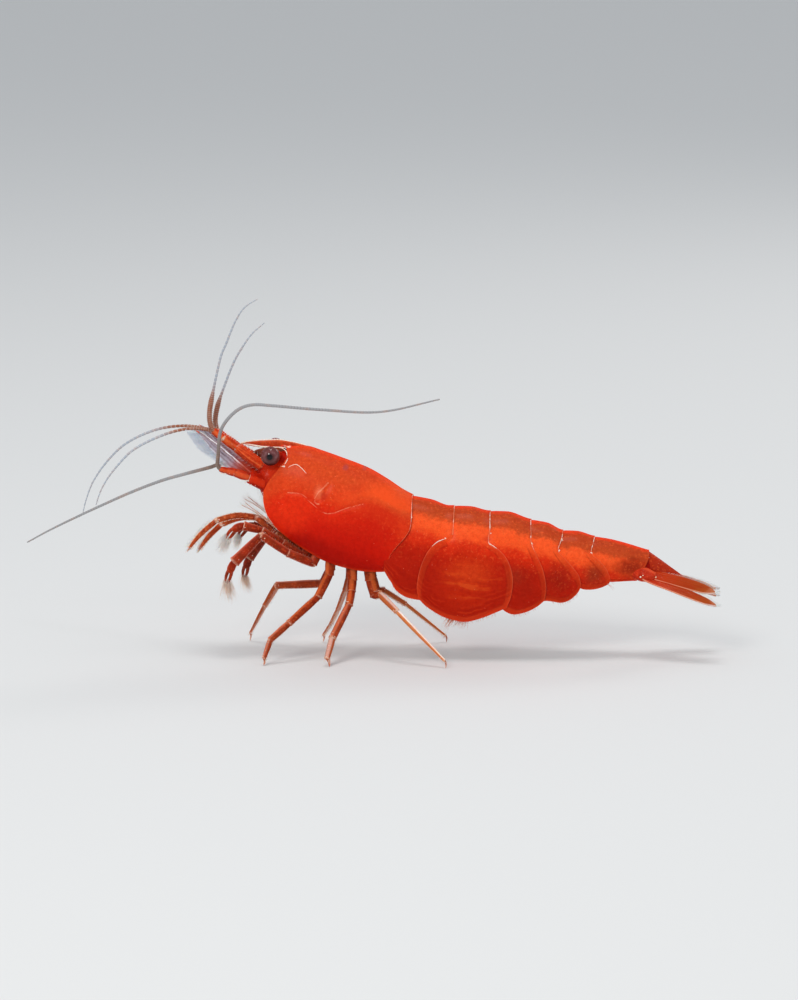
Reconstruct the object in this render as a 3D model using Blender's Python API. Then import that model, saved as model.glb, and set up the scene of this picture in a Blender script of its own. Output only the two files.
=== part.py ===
import math

import bmesh
import bpy
import numpy as np
from mathutils import Matrix, Vector

# A red cherry shrimp at life size, standing on its walking legs.
# Sizes are millimetres: x runs from the tip of the rostrum (0) back to the tail,
# y = 0 is the middle plane with the left side at -y, and z = 0 is the floor.

MM = 0.001
GAP = 0.06                    # thin cut between two pieces that touch
FEELER_RADIUS = 0.25          # feelers and leg tips are at least 0.5 thick
EYE_RADIUS = 0.57
EYE_CENTRE = (1.86, 1.5, 12.12)
ROSTRUM_THICKNESS = 0.5
BLADE_THICKNESS = 0.5         # scales, tail fan and swimmerets
CHANNEL_HALF_WIDTH = 1.25     # groove between the side walls, where the limbs hang
STERNUM_RISE = 0.12           # chest plate above the lower edge of the carapace
COXA_RADIUS = 0.29            # limbs at their roots
CUTTER_HALF_DEPTH = 4.0
CUTTER_TOP = 15.0

SHELL_RED = (0.62, 0.03, 0.012)
LIMB_RED = (0.45, 0.035, 0.015)
EYE_BROWN = (0.03, 0.012, 0.014)
FEELER_GREY = (0.45, 0.42, 0.42)
SCALE_WHITE = (0.55, 0.52, 0.6)

# Head and chest: x, top, bottom and half width of the whole form before it is parted.
HEAD_STATIONS = [
    (0.55, 11.30, 10.00, 0.45), (1.00, 11.60, 9.00, 0.98), (1.50, 11.90, 8.00, 1.25),
    (2.20, 12.35, 7.10, 1.45), (2.70, 12.50, 6.70, 1.58), (3.56, 12.55, 6.20, 1.75),
    (4.10, 12.47, 5.85, 1.83), (4.69, 12.28, 5.50, 1.90), (6.17, 11.76, 4.95, 2.02),
    (7.54, 11.23, 4.70, 2.08), (8.72, 10.55, 4.70, 2.08), (9.67, 9.90, 4.90, 2.02),
    (10.19, 9.61, 5.10, 1.97), (11.20, 9.30, 5.30, 1.90)]

# Abdomen: the same, with a low point in the back line where two rings meet.
ABDOMEN_STATIONS = [
    (7.90, 9.90, 3.60, 1.90), (9.00, 9.75, 3.20, 1.97), (10.19, 9.58, 3.00, 2.00),
    (11.30, 9.38, 2.50, 2.06), (12.37, 9.02, 1.85, 2.10), (13.60, 8.98, 1.70, 2.12),
    (14.81, 8.71, 1.95, 2.08), (15.77, 8.69, 2.20, 2.00), (17.21, 8.22, 2.35, 1.86),
    (18.20, 8.03, 2.80, 1.74), (19.12, 7.59, 2.95, 1.62), (19.95, 7.55, 3.35, 1.50),
    (21.00, 7.23, 3.75, 1.32), (21.90, 7.08, 4.35, 1.10), (23.00, 6.80, 4.62, 0.88),
    (24.20, 6.42, 4.62, 0.72), (24.90, 6.20, 4.75, 0.66)]

# Lower edge of the carapace, where the side walls end: x and z.
CARAPACE_EDGE = [
    (1.42, 9.12), (1.66, 8.46), (2.23, 7.69), (3.30, 6.84), (4.57, 6.07), (5.11, 5.81),
    (6.06, 5.50), (7.34, 5.26), (8.76, 5.32)]

# Eye notch and front edge of the carapace, from the top down to the lower edge.
CARAPACE_FRONT = [
    (2.64, 12.36), (2.83, 11.89), (2.66, 11.50), (2.30, 11.14), (1.76, 10.55), (1.40, 9.94)]

# Front of the face, from the top down.
FACE_FRONT = [(2.45, 11.38), (1.62, 11.00), (1.06, 10.86), (0.90, 10.50), (0.96, 10.00), (1.28, 9.62)]

# Where one ring of the shell ends and the next begins, from the back down the left side.
JOINTS_OF_SHELL = {
    "carapace": [(10.19, 9.61), (10.21, 8.64), (10.13, 7.93), (9.80, 7.37), (9.26, 6.75),
                 (8.92, 6.20), (8.86, 5.43)],
    "ring_1": [(12.37, 9.02), (12.36, 8.10), (12.27, 7.33), (11.72, 7.13), (11.37, 6.83),
               (11.02, 6.30), (10.72, 5.51), (10.53, 4.47), (10.62, 3.72)],
    "ring_2": [(14.81, 8.71), (14.84, 7.90), (14.80, 7.05), (15.46, 6.62), (15.89, 6.08),
               (16.13, 5.42), (16.20, 4.81), (16.10, 3.95), (15.83, 3.20)],
    "ring_3": [(17.21, 8.22), (17.25, 7.60), (17.28, 7.06), (17.61, 6.33), (17.94, 5.58),
               (18.12, 4.85), (18.15, 4.20), (18.04, 3.62)],
    "ring_4": [(19.12, 7.59), (19.06, 7.20), (18.86, 6.58), (19.30, 6.10), (19.73, 5.62),
               (20.09, 5.09), (20.21, 4.50)],
    "ring_5": [(21.00, 7.23), (20.93, 7.00), (20.82, 6.41), (21.25, 6.02), (21.62, 5.59),
               (21.85, 5.12), (21.93, 4.82)],
    "ring_6": [(24.20, 6.42), (24.10, 6.02), (23.66, 5.44), (23.50, 4.72)],
}

# Lower edge of each ring's side plates, from front to back.
SIDE_PLATE_EDGES = {
    "ring_1": [(9.02, 4.72), (9.31, 4.16), (9.85, 3.77), (10.35, 3.64)],
    "ring_2": [(11.07, 3.20), (11.97, 2.64), (12.87, 2.36), (13.47, 2.31), (14.38, 2.56), (15.40, 3.00)],
    "ring_3": [(15.96, 2.92), (16.30, 2.75), (17.00, 2.92), (17.62, 3.25)],
    "ring_4": [(18.42, 3.58), (19.00, 3.46), (19.53, 3.61), (20.00, 4.05)],
    "ring_5": [(20.56, 4.25), (21.26, 4.30), (21.79, 4.52)],
    "ring_6": [(22.10, 4.67), (22.84, 4.66), (23.30, 4.70)],
}

# Groove under the abdomen, where the swimmerets lie.
BELLY_STATIONS = [
    (8.30, 4.90, 0.5, 0.90), (9.40, 5.55, 0.5, 1.10), (12.00, 5.45, 0.5, 1.12),
    (15.00, 5.25, 0.5, 1.12), (17.50, 5.15, 0.5, 1.05), (19.50, 5.22, 0.5, 0.92),
    (21.20, 5.22, 0.5, 0.82), (22.00, 5.10, 0.5, 0.70)]

ROSTRUM_TOP = [
    (0.00, 12.67), (0.36, 12.79), (1.25, 12.89), (2.20, 12.92), (2.91, 12.81), (3.56, 12.66), (4.15, 12.48)]
ROSTRUM_UNDERSIDE = [
    (4.00, 12.22), (3.20, 12.26), (2.42, 12.40), (1.28, 12.41), (0.45, 12.52), (0.00, 12.62)]

# Antennal scale, in its own plane: along and across from its root.
SCALE_ROOT = (-0.20, 0.84, 11.20)
SCALE_TIP = (-3.20, 0.99, 13.52)
SCALE_OUTLINE = [
    (-0.15, 0.34), (1.36, 0.44), (2.90, 0.50), (3.35, 0.32), (3.70, -0.06), (3.62, -0.34),
    (2.41, -0.47), (1.13, -0.39), (0.30, -0.30), (-0.15, 0.00)]
SCALE_LEAN = 0.42             # how far the scale's upper edge leans outwards, per unit of rise

# Limbs: joints from the root out. A walking leg ends in a short upright stretch to the floor.
LIMBS = {
    "maxilliped_left": [(3.40, -0.33, None), (3.38, -0.33, 6.40), (2.55, -0.32, 6.97), (1.68, -0.40, 7.68),
                        (0.95, -0.52, 8.30), (-0.24, -0.66, 8.40), (-1.42, -0.80, 8.14),
                        (-2.37, -0.95, 7.30), (-3.12, -1.00, 6.35)],
    "maxilliped_right": [(3.40, 0.33, None), (3.38, 0.33, 6.40), (2.55, 0.32, 6.96), (1.70, 0.40, 7.62),
                         (1.02, 0.50, 8.12), (-0.15, 0.62, 8.06), (-1.25, 0.78, 7.66),
                         (-2.05, 0.92, 6.86), (-2.70, 1.00, 5.96)],
    "leg_1_left": [(4.00, -0.72, None), (3.78, -0.76, 6.02), (3.40, -0.82, 6.20), (2.55, -0.90, 6.84),
                   (1.33, -1.10, 7.60), (0.24, -1.22, 7.94), (-0.38, -1.32, 7.66),
                   (-0.76, -1.36, 7.10), (-1.40, -1.45, 6.18)],
    "leg_1_right": [(4.00, 0.72, None), (3.78, 0.76, 6.02), (3.40, 0.82, 6.18), (2.55, 0.90, 6.74),
                    (1.42, 1.10, 7.32), (0.46, 1.24, 7.46), (-0.10, 1.34, 7.10),
                    (-0.40, 1.38, 6.50), (-0.78, 1.44, 5.60)],
    "leg_2_left": [(4.60, -0.88, None), (4.34, -1.05, 5.64), (3.55, -1.36, 5.92), (2.70, -1.50, 6.50),
                   (1.31, -1.76, 7.42), (0.54, -1.82, 6.66), (-0.23, -1.87, 5.88),
                   (-0.48, -1.88, 5.16), (-0.62, -1.88, 3.45)],
    "leg_2_right": [(4.60, 0.88, None), (4.34, 1.05, 5.64), (3.55, 1.36, 5.90), (2.75, 1.50, 6.36),
                    (1.52, 1.78, 7.06), (0.92, 1.86, 6.22), (0.34, 1.92, 5.38),
                    (0.20, 1.94, 4.64), (0.06, 1.94, 3.20)],
    "leg_3_left": [(5.36, -0.88, None), (5.32, -0.95, 5.20), (4.72, -1.62, 3.79), (3.03, -2.85, 2.32),
                   (2.01, -3.50, 1.41), (1.60, -3.90, 0.38), (1.60, -3.90, 0.00)],
    "leg_3_right": [(5.30, 0.88, None), (5.24, 0.95, 5.00), (4.78, 1.50, 3.96), (1.81, 2.60, 3.62),
                    (1.11, 3.20, 2.32), (0.15, 3.92, 0.50), (0.15, 3.92, 0.00)],
    "leg_4_left": [(6.62, -0.88, None), (6.66, -1.00, 4.70), (6.67, -1.50, 3.85), (6.60, -2.02, 3.15),
                   (5.84, -3.20, 1.75), (5.58, -4.15, 0.50), (5.58, -4.15, 0.00)],
    "leg_4_right": [(6.45, 0.88, None), (6.36, 1.00, 4.50), (5.90, 1.85, 3.05), (5.14, 3.00, 1.30),
                    (4.59, 3.82, 0.45), (4.59, 3.82, 0.00)],
    "leg_5_left": [(7.66, -0.88, None), (7.74, -1.00, 4.70), (7.98, -1.50, 3.84), (8.36, -1.76, 3.92),
                   (9.45, -2.60, 3.11), (11.46, -3.80, 1.26), (12.34, -4.18, 0.42), (12.34, -4.18, 0.00)],
    "leg_5_right": [(7.60, 0.88, None), (7.70, 1.00, 4.60), (7.96, 1.50, 3.60), (8.34, 1.80, 3.58),
                    (9.60, 2.62, 2.62), (11.18, 3.62, 1.10), (12.02, 4.08, 0.40), (12.02, 4.08, 0.00)],
}

# Stalks of the two antennules and the two antennae, and the eyestalks.
STALKS = {
    "antennule_left": [(1.30, -0.36, 11.34), (0.25, -0.36, 12.10), (-0.81, -0.36, 12.80), (-1.58, -0.37, 13.42)],
    "antennule_right": [(1.30, 0.36, 11.34), (0.30, 0.36, 12.06), (-0.74, 0.36, 12.74), (-1.48, 0.37, 13.34)],
    "antenna_base_left": [(0.76, -1.20, 10.38), (0.02, -1.24, 10.70), (-0.88, -1.27, 11.06)],
    "antenna_base_right": [(0.76, 1.20, 10.38), (0.02, 1.24, 10.70), (-0.88, 1.27, 11.06)],
    "eyestalk_left": [(2.52, -0.36, 11.98), (2.06, -0.46, 12.02), (1.90, -0.87, 12.08)],
    "eyestalk_right": [(2.52, 0.36, 11.98), (2.06, 0.46, 12.02), (1.90, 0.87, 12.08)],
}

# Feelers: each is one smooth curve through these points.
FEELERS = {
    "antennule_outer_left": [(-1.86, -0.42, 13.86), (-1.82, -0.45, 14.50), (-1.69, -0.50, 15.35),
                             (-1.16, -0.65, 17.73), (-0.80, -0.70, 18.66), (-0.23, -0.80, 20.02),
                             (0.32, -0.90, 20.85), (1.10, -1.00, 21.38)],
    "antennule_outer_right": [(-1.58, 0.42, 13.92), (-1.47, 0.46, 14.60), (-1.23, 0.50, 15.40),
                              (-0.55, 0.65, 17.20), (-0.01, 0.70, 18.20), (0.63, 0.80, 19.10),
                              (1.35, 0.90, 19.73)],
    "antennule_inner_left": [(-2.08, -0.36, 13.48), (-2.80, -0.37, 13.56), (-3.55, -0.40, 13.48),
                             (-4.45, -0.56, 13.24), (-5.54, -0.80, 12.79), (-6.43, -1.00, 12.26),
                             (-7.15, -1.10, 11.53), (-7.79, -1.20, 10.72), (-8.24, -1.30, 9.91),
                             (-8.52, -1.35, 9.09)],
    "antennule_inner_right": [(-2.00, 0.36, 13.44), (-2.70, 0.40, 13.56), (-3.40, 0.48, 13.60),
                              (-4.42, 0.72, 13.48), (-5.35, 0.95, 13.22), (-6.37, 1.10, 12.77),
                              (-7.31, 1.25, 12.15), (-8.25, 1.40, 11.15), (-9.01, 1.50, 10.02),
                              (-9.45, 1.60, 8.89), (-9.64, 1.65, 8.14)],
    "antenna_left": [(-1.20, -1.36, 11.28), (-1.28, -1.56, 11.80), (-1.16, -1.74, 12.40), (-1.09, -1.95, 13.42),
                     (-0.74, -2.20, 14.21), (0.05, -2.70, 15.03), (0.94, -3.20, 15.40),
                     (2.22, -4.00, 15.47), (5.26, -5.80, 15.50), (8.74, -7.80, 15.69), (12.20, -9.70, 16.70)],
    "antenna_right": [(-1.24, 1.36, 11.20), (-2.00, 1.52, 10.96), (-3.67, 2.40, 10.39), (-5.05, 3.20, 9.88),
                      (-6.53, 4.10, 9.21), (-8.02, 5.00, 8.46), (-10.46, 6.70, 7.13), (-12.44, 8.20, 5.99),
                      (-14.00, 9.50, 5.00)],
}

# Flat blades: root, tip, widths from root to tip, and the direction across the blade.
BLADES = {
    "telson": ((24.30, 0.0, 6.02), (26.30, 0.0, 4.62), (1.05, 0.90, 0.66, 0.42), (0.0, 1.0, 0.0)),
    "uropod_inner_left": ((24.48, -0.80, 4.96), (28.42, -1.12, 4.20), (0.40, 0.78, 0.84, 0.42), (0.0, -1.0, 0.0)),
    "uropod_inner_right": ((24.48, 0.80, 4.90), (28.20, 1.05, 3.90), (0.40, 0.78, 0.84, 0.42), (0.0, 1.0, 0.0)),
    "uropod_outer_left": ((24.44, -1.45, 4.42), (28.52, -2.16, 3.48), (0.36, 0.84, 0.90, 0.50), (0.0, -1.0, -0.2)),
    "uropod_outer_right": ((24.44, 1.45, 4.38), (28.10, 2.42, 3.34), (0.36, 0.84, 0.90, 0.50), (0.0, 1.0, -0.2)),
}

# Bases of the tail fan's side blades: centre and radii.
UROPOD_BASE_CENTRE = (24.02, 0.80, 4.98)
UROPOD_BASE_RADII = (0.36, 0.42, 0.30)

# Swimmerets: root and tip of each pair in side view, distance from the middle, greatest width.
SWIMMERETS = [
    ((10.20, 4.90), (11.50, 3.72), 0.46, 0.74), ((12.50, 4.80), (14.10, 3.05), 0.46, 0.74),
    ((15.10, 4.70), (16.60, 3.42), 0.46, 0.74), ((17.60, 4.50), (19.00, 3.86), 0.42, 0.66),
    ((19.95, 4.42), (21.20, 4.40), 0.31, 0.46)]


def smooth_line(points):
    """Level-ended monotone cubic through (x, value) pairs."""
    xs, values = np.array(points, float).T
    slopes = np.diff(values) / np.diff(xs)
    tangents = np.concatenate(([slopes[0]], np.zeros(len(xs) - 2), [slopes[-1]]))
    for i in range(1, len(xs) - 1):
        if slopes[i - 1] * slopes[i] > 0:
            tangents[i] = 2 / (1 / slopes[i - 1] + 1 / slopes[i])

    def value(x):
        x = min(max(x, xs[0]), xs[-1])
        i = min(int(np.searchsorted(xs, x, side="right")) - 1, len(xs) - 2)
        width = xs[i + 1] - xs[i]
        t = (x - xs[i]) / width
        rise = values[i] * (2 * t ** 3 - 3 * t ** 2 + 1) + values[i + 1] * (3 * t ** 2 - 2 * t ** 3)
        return rise + width * (tangents[i] * (t ** 3 - 2 * t ** 2 + t) + tangents[i + 1] * (t ** 3 - t ** 2))

    return value


def smooth_path(points, count):
    """Points spaced evenly along a Catmull-Rom curve through the given ones."""
    knots = np.array(points, float)
    knots = np.vstack([2 * knots[0] - knots[1], knots, 2 * knots[-1] - knots[-2]])
    fine = []
    for a, b, c, d in zip(knots, knots[1:], knots[2:], knots[3:]):
        for t in np.linspace(0, 1, 12, endpoint=False):
            fine.append(0.5 * (2 * b + (c - a) * t + (2 * a - 5 * b + 4 * c - d) * t ** 2
                               + (3 * b - a - 3 * c + d) * t ** 3))
    fine = np.array(fine + [knots[-2]])
    run = np.concatenate(([0], np.cumsum(np.linalg.norm(np.diff(fine, axis=0), axis=1))))
    marks = np.linspace(0, run[-1], count)
    return np.array([np.interp(marks, run, fine[:, k]) for k in range(fine.shape[1])]).T


def eased(joints, ease=0.16):
    """A limb's path: straight between joints, with each bend taken in two steps."""
    path = [joints[0]]
    for before, joint, after in zip(joints, joints[1:], joints[2:]):
        for neighbour in (before, after):
            away = neighbour - joint
            path.append(joint + away.normalized() * min(ease, away.length / 3))
    return path + [joints[-1]]


def offset(line, distance):
    """The same line moved sideways: towards the tail for a line that runs downwards."""
    line = np.array(line, float)
    ahead = np.gradient(line, axis=0)
    ahead /= np.linalg.norm(ahead, axis=1)[:, None]
    return line + distance * np.column_stack([-ahead[:, 1], ahead[:, 0]])


def paint(obj, colour, roughness):
    material = bpy.data.materials.new(obj.name)
    material.use_nodes = True
    shader = material.node_tree.nodes["Principled BSDF"]
    shader.inputs["Base Color"].default_value = (*colour, 1)
    shader.inputs["Roughness"].default_value = roughness
    obj.data.materials.clear()
    obj.data.materials.append(material)
    return obj


def add_object(name, data, collection):
    obj = bpy.data.objects.new(name, data)
    collection.objects.link(obj)
    obj.parent = stand_point
    return obj


def as_cutter(obj):
    obj.hide_render = True
    obj.display_type = "WIRE"
    return obj


def tube(name, path, radii, resolution):
    """A round bar along a path, in millimetres, with one radius for each point."""
    curve = bpy.data.curves.new(name, "CURVE")
    curve.dimensions = "3D"
    curve.bevel_depth = MM
    curve.bevel_resolution = resolution
    curve.use_fill_caps = True
    spline = curve.splines.new("POLY")
    spline.points.add(len(path) - 1)
    for point, place, radius in zip(spline.points, path, radii):
        point.co = (*(Vector(place) * MM), 1)
        point.radius = radius
    return add_object(name, curve, parts)


def plate_mesh(name, outline, half_thickness):
    """A flat outline in the XY plane, filled and given its thickness, as a closed mesh."""
    curve = bpy.data.curves.new(name, "CURVE")
    curve.dimensions = "2D"
    curve.fill_mode = "BOTH"
    curve.extrude = half_thickness * MM
    spline = curve.splines.new("POLY")
    spline.points.add(len(outline) - 1)
    for point, (across, up) in zip(spline.points, outline):
        point.co = (across * MM, up * MM, 0, 1)
    spline.use_cyclic_u = True
    drawn = bpy.data.objects.new(name, curve)
    bpy.context.scene.collection.objects.link(drawn)
    graph = bpy.context.evaluated_depsgraph_get()
    mesh = bpy.data.meshes.new_from_object(drawn.evaluated_get(graph))
    bpy.data.objects.remove(drawn)
    bpy.data.curves.remove(curve)
    welded = bmesh.new()
    welded.from_mesh(mesh)
    bmesh.ops.remove_doubles(welded, verts=welded.verts, dist=0.001 * MM)
    bmesh.ops.recalc_face_normals(welded, faces=welded.faces)
    welded.to_mesh(mesh)
    welded.free()
    return mesh


def standing_plate(name, outline, half_thickness, collection):
    """A plate drawn in side view: its outline is in x and z, its thickness along y."""
    obj = add_object(name, plate_mesh(name, outline, half_thickness), collection)
    obj.rotation_euler = (math.pi / 2, 0, 0)
    return obj


def blade(name, outline, root, tip, across):
    """A plate whose outline runs from root to tip, spreading along the across direction."""
    along = (Vector(tip) - Vector(root)).normalized()
    sideways = Vector(across) - along * along.dot(Vector(across))
    sideways.normalize()
    obj = add_object(name, plate_mesh(name, outline, BLADE_THICKNESS / 2), parts)
    turn = Matrix((along, sideways, along.cross(sideways))).transposed().to_4x4()
    obj.matrix_local = Matrix.Translation(Vector(root) * MM) @ turn
    return obj


def leaf(length, widths):
    """Outline of a leaf from its widths at even steps, root first."""
    half = smooth_line([(i / (len(widths) - 1), width / 2) for i, width in enumerate(widths)])
    edge = [(length * t, half(t)) for t in np.linspace(0, 1, 7)]
    return edge + [(x, -y) for x, y in reversed(edge)]


def body_form_mesh(name, stations, sides, rings, powers, end_round=0.5, blunt=False):
    """A long closed form through stations of x, top, bottom and half width.

    powers shape its section above and below the middle: 1 is an ellipse, less is boxier.
    A blunt form has its first and last sections close to its ends.
    """
    top, bottom, half_width = (smooth_line([(row[0], row[k]) for row in stations]) for k in (1, 2, 3))
    start, end = stations[0][0], stations[-1][0]
    form = bmesh.new()
    bmesh.ops.create_uvsphere(form, u_segments=sides, v_segments=rings, radius=1)
    for vert in form.verts:
        along = (1 - vert.co.z) / 2 if blunt else math.acos(max(-1, min(1, vert.co.z))) / math.pi
        around = math.atan2(vert.co.y, vert.co.x)
        x = start + (end - start) * along
        inside = min(min(x - start, end - x) / end_round, 1)
        closing = math.sqrt(1 - (1 - inside) ** 2)
        height = (top(x) - bottom(x)) / 2 * closing
        power = powers[0] if math.cos(around) > 0 else powers[1]
        spread = math.copysign(abs(math.sin(around)) ** power, math.sin(around))
        z = (top(x) + bottom(x)) / 2 + height * math.cos(around)
        vert.co = Vector((x, half_width(x) * closing * spread, z)) * MM
    if form.calc_volume(signed=True) < 0:
        bmesh.ops.reverse_faces(form, faces=form.faces)
    mesh = bpy.data.meshes.new(name)
    form.to_mesh(mesh)
    form.free()
    return mesh


def combine(obj, cutter, operation):
    modifier = obj.modifiers.new(cutter.name, "BOOLEAN")
    modifier.operation = operation
    modifier.object = cutter
    modifier.solver = "EXACT"


def side_outline(front, lower_edge, back):
    """Closed side view of one piece of shell, with half a cut taken off front and back."""
    front = offset(front, GAP / 2)
    back = offset(back, -GAP / 2)
    top = [(back[0][0], CUTTER_TOP), (front[0][0], CUTTER_TOP)]
    return [*front, *lower_edge, *back[::-1], *top]


def make_carapace_and_face():
    form = body_form_mesh("head_form", HEAD_STATIONS, 20, 22, (0.92, 0.62))
    rear = smooth_path(JOINTS_OF_SHELL["carapace"], 12)
    front = smooth_path(CARAPACE_FRONT, 14)
    lower = smooth_path(CARAPACE_EDGE, 14)
    outline = side_outline(front, lower[:-1], rear)
    carapace = add_object("carapace", form, parts)
    combine(carapace, as_cutter(standing_plate("carapace_cut", outline, CUTTER_HALF_DEPTH, cutters)), "INTERSECT")
    chest_edge = smooth_line(CARAPACE_EDGE)
    groove = [(x, chest_edge(x) + 0.95, chest_edge(x) - 2.0, min(CHANNEL_HALF_WIDTH, 0.55 + 0.6 * (x - 2.3)))
              for x in np.linspace(2.3, 8.75, 9)]
    groove_mesh = body_form_mesh("chest_groove", groove, 16, 14, (0.35, 0.35), 0.3, blunt=True)
    combine(carapace, as_cutter(add_object("chest_groove", groove_mesh, cutters)), "DIFFERENCE")
    slot_end = ROSTRUM_TOP[-1][0] + GAP
    slot = [(0.0, CUTTER_TOP), (slot_end, CUTTER_TOP), (slot_end, ROSTRUM_UNDERSIDE[0][1] - GAP)]
    slot += [(x, z - GAP) for x, z in ROSTRUM_UNDERSIDE]
    slot_cut = standing_plate("rostrum_slot", slot, ROSTRUM_THICKNESS / 2 + GAP, cutters)
    combine(carapace, as_cutter(slot_cut), "DIFFERENCE")
    paint(carapace, SHELL_RED, 0.25)

    plate = [(x, chest_edge(x) + 0.70, chest_edge(x) + STERNUM_RISE, min(1.08, 0.38 + 0.6 * (x - 2.3)))
             for x in np.linspace(2.55, 8.60, 9)]
    thorax = add_object("thorax", body_form_mesh("thorax", plate, 12, 12, (0.6, 0.6), 0.3, blunt=True), parts)
    paint(thorax, LIMB_RED, 0.35)

    face = add_object("face", form.copy(), parts)
    back = offset(smooth_path(CARAPACE_FRONT[2:], 8), -GAP / 2)
    face_outline = [*smooth_path(FACE_FRONT, 10), (1.36, 9.50), *back[::-1]]
    combine(face, as_cutter(standing_plate("face_cut", face_outline, CUTTER_HALF_DEPTH, cutters)), "INTERSECT")
    paint(face, SHELL_RED, 0.3)


def make_rostrum():
    outline = [*ROSTRUM_TOP, *ROSTRUM_UNDERSIDE]
    rostrum = standing_plate("rostrum", outline, ROSTRUM_THICKNESS / 2, parts)
    paint(rostrum, SHELL_RED, 0.3)


def make_abdomen():
    form = body_form_mesh("abdomen_form", ABDOMEN_STATIONS, 20, 32, (0.92, 0.6))
    groove_mesh = body_form_mesh("belly_groove", BELLY_STATIONS, 12, 14, (0.4, 0.3), blunt=True)
    groove = as_cutter(add_object("belly_groove", groove_mesh, cutters))
    lines = {name: smooth_path(points, 13) for name, points in JOINTS_OF_SHELL.items()}
    names = list(JOINTS_OF_SHELL)
    for number, (before, ring) in enumerate(zip(names, names[1:]), start=1):
        outline = side_outline(lines[before], SIDE_PLATE_EDGES[ring], lines[ring])
        segment = add_object(f"abdomen_segment_{number}", form.copy(), parts)
        plate = standing_plate(f"{ring}_cut", outline, CUTTER_HALF_DEPTH, cutters)
        combine(segment, as_cutter(plate), "INTERSECT")
        combine(segment, groove, "DIFFERENCE")
        paint(segment, SHELL_RED, 0.25)


def make_eyes():
    for side, name in ((-1, "left"), (1, "right")):
        ball = bmesh.new()
        bmesh.ops.create_uvsphere(ball, u_segments=14, v_segments=9, radius=EYE_RADIUS * MM)
        mesh = bpy.data.meshes.new(f"eye_{name}")
        ball.to_mesh(mesh)
        ball.free()
        mesh.shade_smooth()
        eye = add_object(f"eye_{name}", mesh, parts)
        eye.location = Vector((EYE_CENTRE[0], side * EYE_CENTRE[1], EYE_CENTRE[2])) * MM
        paint(eye, EYE_BROWN, 0.12)


def make_stalks():
    for name, joints in STALKS.items():
        path = eased([Vector(joint) for joint in joints], 0.12)
        paint(tube(name, path, np.linspace(0.28, 0.26, len(path)), 2), LIMB_RED, 0.3)


def make_feelers():
    for name, points in FEELERS.items():
        thick = name.startswith("antenna_")
        path = smooth_path(points, 26 if thick else 20)
        paint(tube(name, path, [FEELER_RADIUS] * len(path), 2 if thick else 1), FEELER_GREY, 0.4)


def make_scales():
    for side, name in ((-1, "left"), (1, "right")):
        root = (SCALE_ROOT[0], side * SCALE_ROOT[1], SCALE_ROOT[2])
        tip = (SCALE_TIP[0], side * SCALE_TIP[1], SCALE_TIP[2])
        scale = blade(f"antennal_scale_{name}", SCALE_OUTLINE, root, tip, (0, side * SCALE_LEAN, 1))
        paint(scale, SCALE_WHITE, 0.4)


def make_limbs():
    chest_edge = smooth_line(CARAPACE_EDGE)
    for name, joints in LIMBS.items():
        x, y = joints[0][:2]
        below_chest = min(chest_edge(x - COXA_RADIUS), chest_edge(x + COXA_RADIUS)) + STERNUM_RISE - GAP
        path = eased([Vector((x, y, below_chest)), *(Vector(joint) for joint in joints[1:])])
        radii = np.linspace(COXA_RADIUS, FEELER_RADIUS, len(path))
        paint(tube(name, path, radii, 1), LIMB_RED, 0.3)


def make_tail_fan():
    for name, (root, tip, widths, across) in BLADES.items():
        length = (Vector(tip) - Vector(root)).length
        paint(blade(name, leaf(length, widths), root, tip, across), SHELL_RED, 0.3)
    for side, name in ((-1, "left"), (1, "right")):
        knob = bmesh.new()
        bmesh.ops.create_uvsphere(knob, u_segments=10, v_segments=7, radius=MM)
        bmesh.ops.scale(knob, vec=UROPOD_BASE_RADII, verts=knob.verts)
        mesh = bpy.data.meshes.new(f"uropod_base_{name}")
        knob.to_mesh(mesh)
        knob.free()
        base = add_object(f"uropod_base_{name}", mesh, parts)
        base.location = Vector((UROPOD_BASE_CENTRE[0], side * UROPOD_BASE_CENTRE[1], UROPOD_BASE_CENTRE[2])) * MM
        paint(base, SHELL_RED, 0.3)


def make_swimmerets():
    for number, ((x0, z0), (x1, z1), spread, width) in enumerate(SWIMMERETS, start=1):
        for side, name in ((-1, "left"), (1, "right")):
            root = (x0, side * spread, z0)
            tip = (x1, side * spread, z1)
            outline = leaf(math.hypot(x1 - x0, z1 - z0), (width * 0.65, width * 0.95, width, width * 0.6))
            fin = blade(f"swimmeret_{number}_{name}", outline, root, tip, (0, side, 0))
            paint(fin, LIMB_RED, 0.35)


def centre_on_floor():
    """Moves the whole shrimp so that its box stands centred over the origin."""
    graph = bpy.context.evaluated_depsgraph_get()
    corners = []
    for obj in parts.objects:
        shape = obj.evaluated_get(graph)
        mesh = shape.to_mesh()
        corners += [shape.matrix_world @ vert.co for vert in mesh.vertices]
        shape.to_mesh_clear()
    corners = np.array(corners)
    middle = (corners.min(axis=0) + corners.max(axis=0)) / 2
    stand_point.location = (-middle[0], -middle[1], 0)


for old in list(bpy.data.objects):
    bpy.data.objects.remove(old, do_unlink=True)
parts = bpy.data.collections.new("shrimp")
cutters = bpy.data.collections.new("shrimp_cutters")
bpy.context.scene.collection.children.link(parts)
bpy.context.scene.collection.children.link(cutters)
stand_point = bpy.data.objects.new("stand_point", None)
bpy.context.scene.collection.objects.link(stand_point)

make_carapace_and_face()
make_rostrum()
make_eyes()
make_stalks()
make_scales()
make_feelers()
make_limbs()
make_abdomen()
make_swimmerets()
make_tail_fan()
centre_on_floor()
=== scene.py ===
import math
import random

import bmesh
import bpy
import numpy as np
from mathutils import Matrix, Vector


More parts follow.
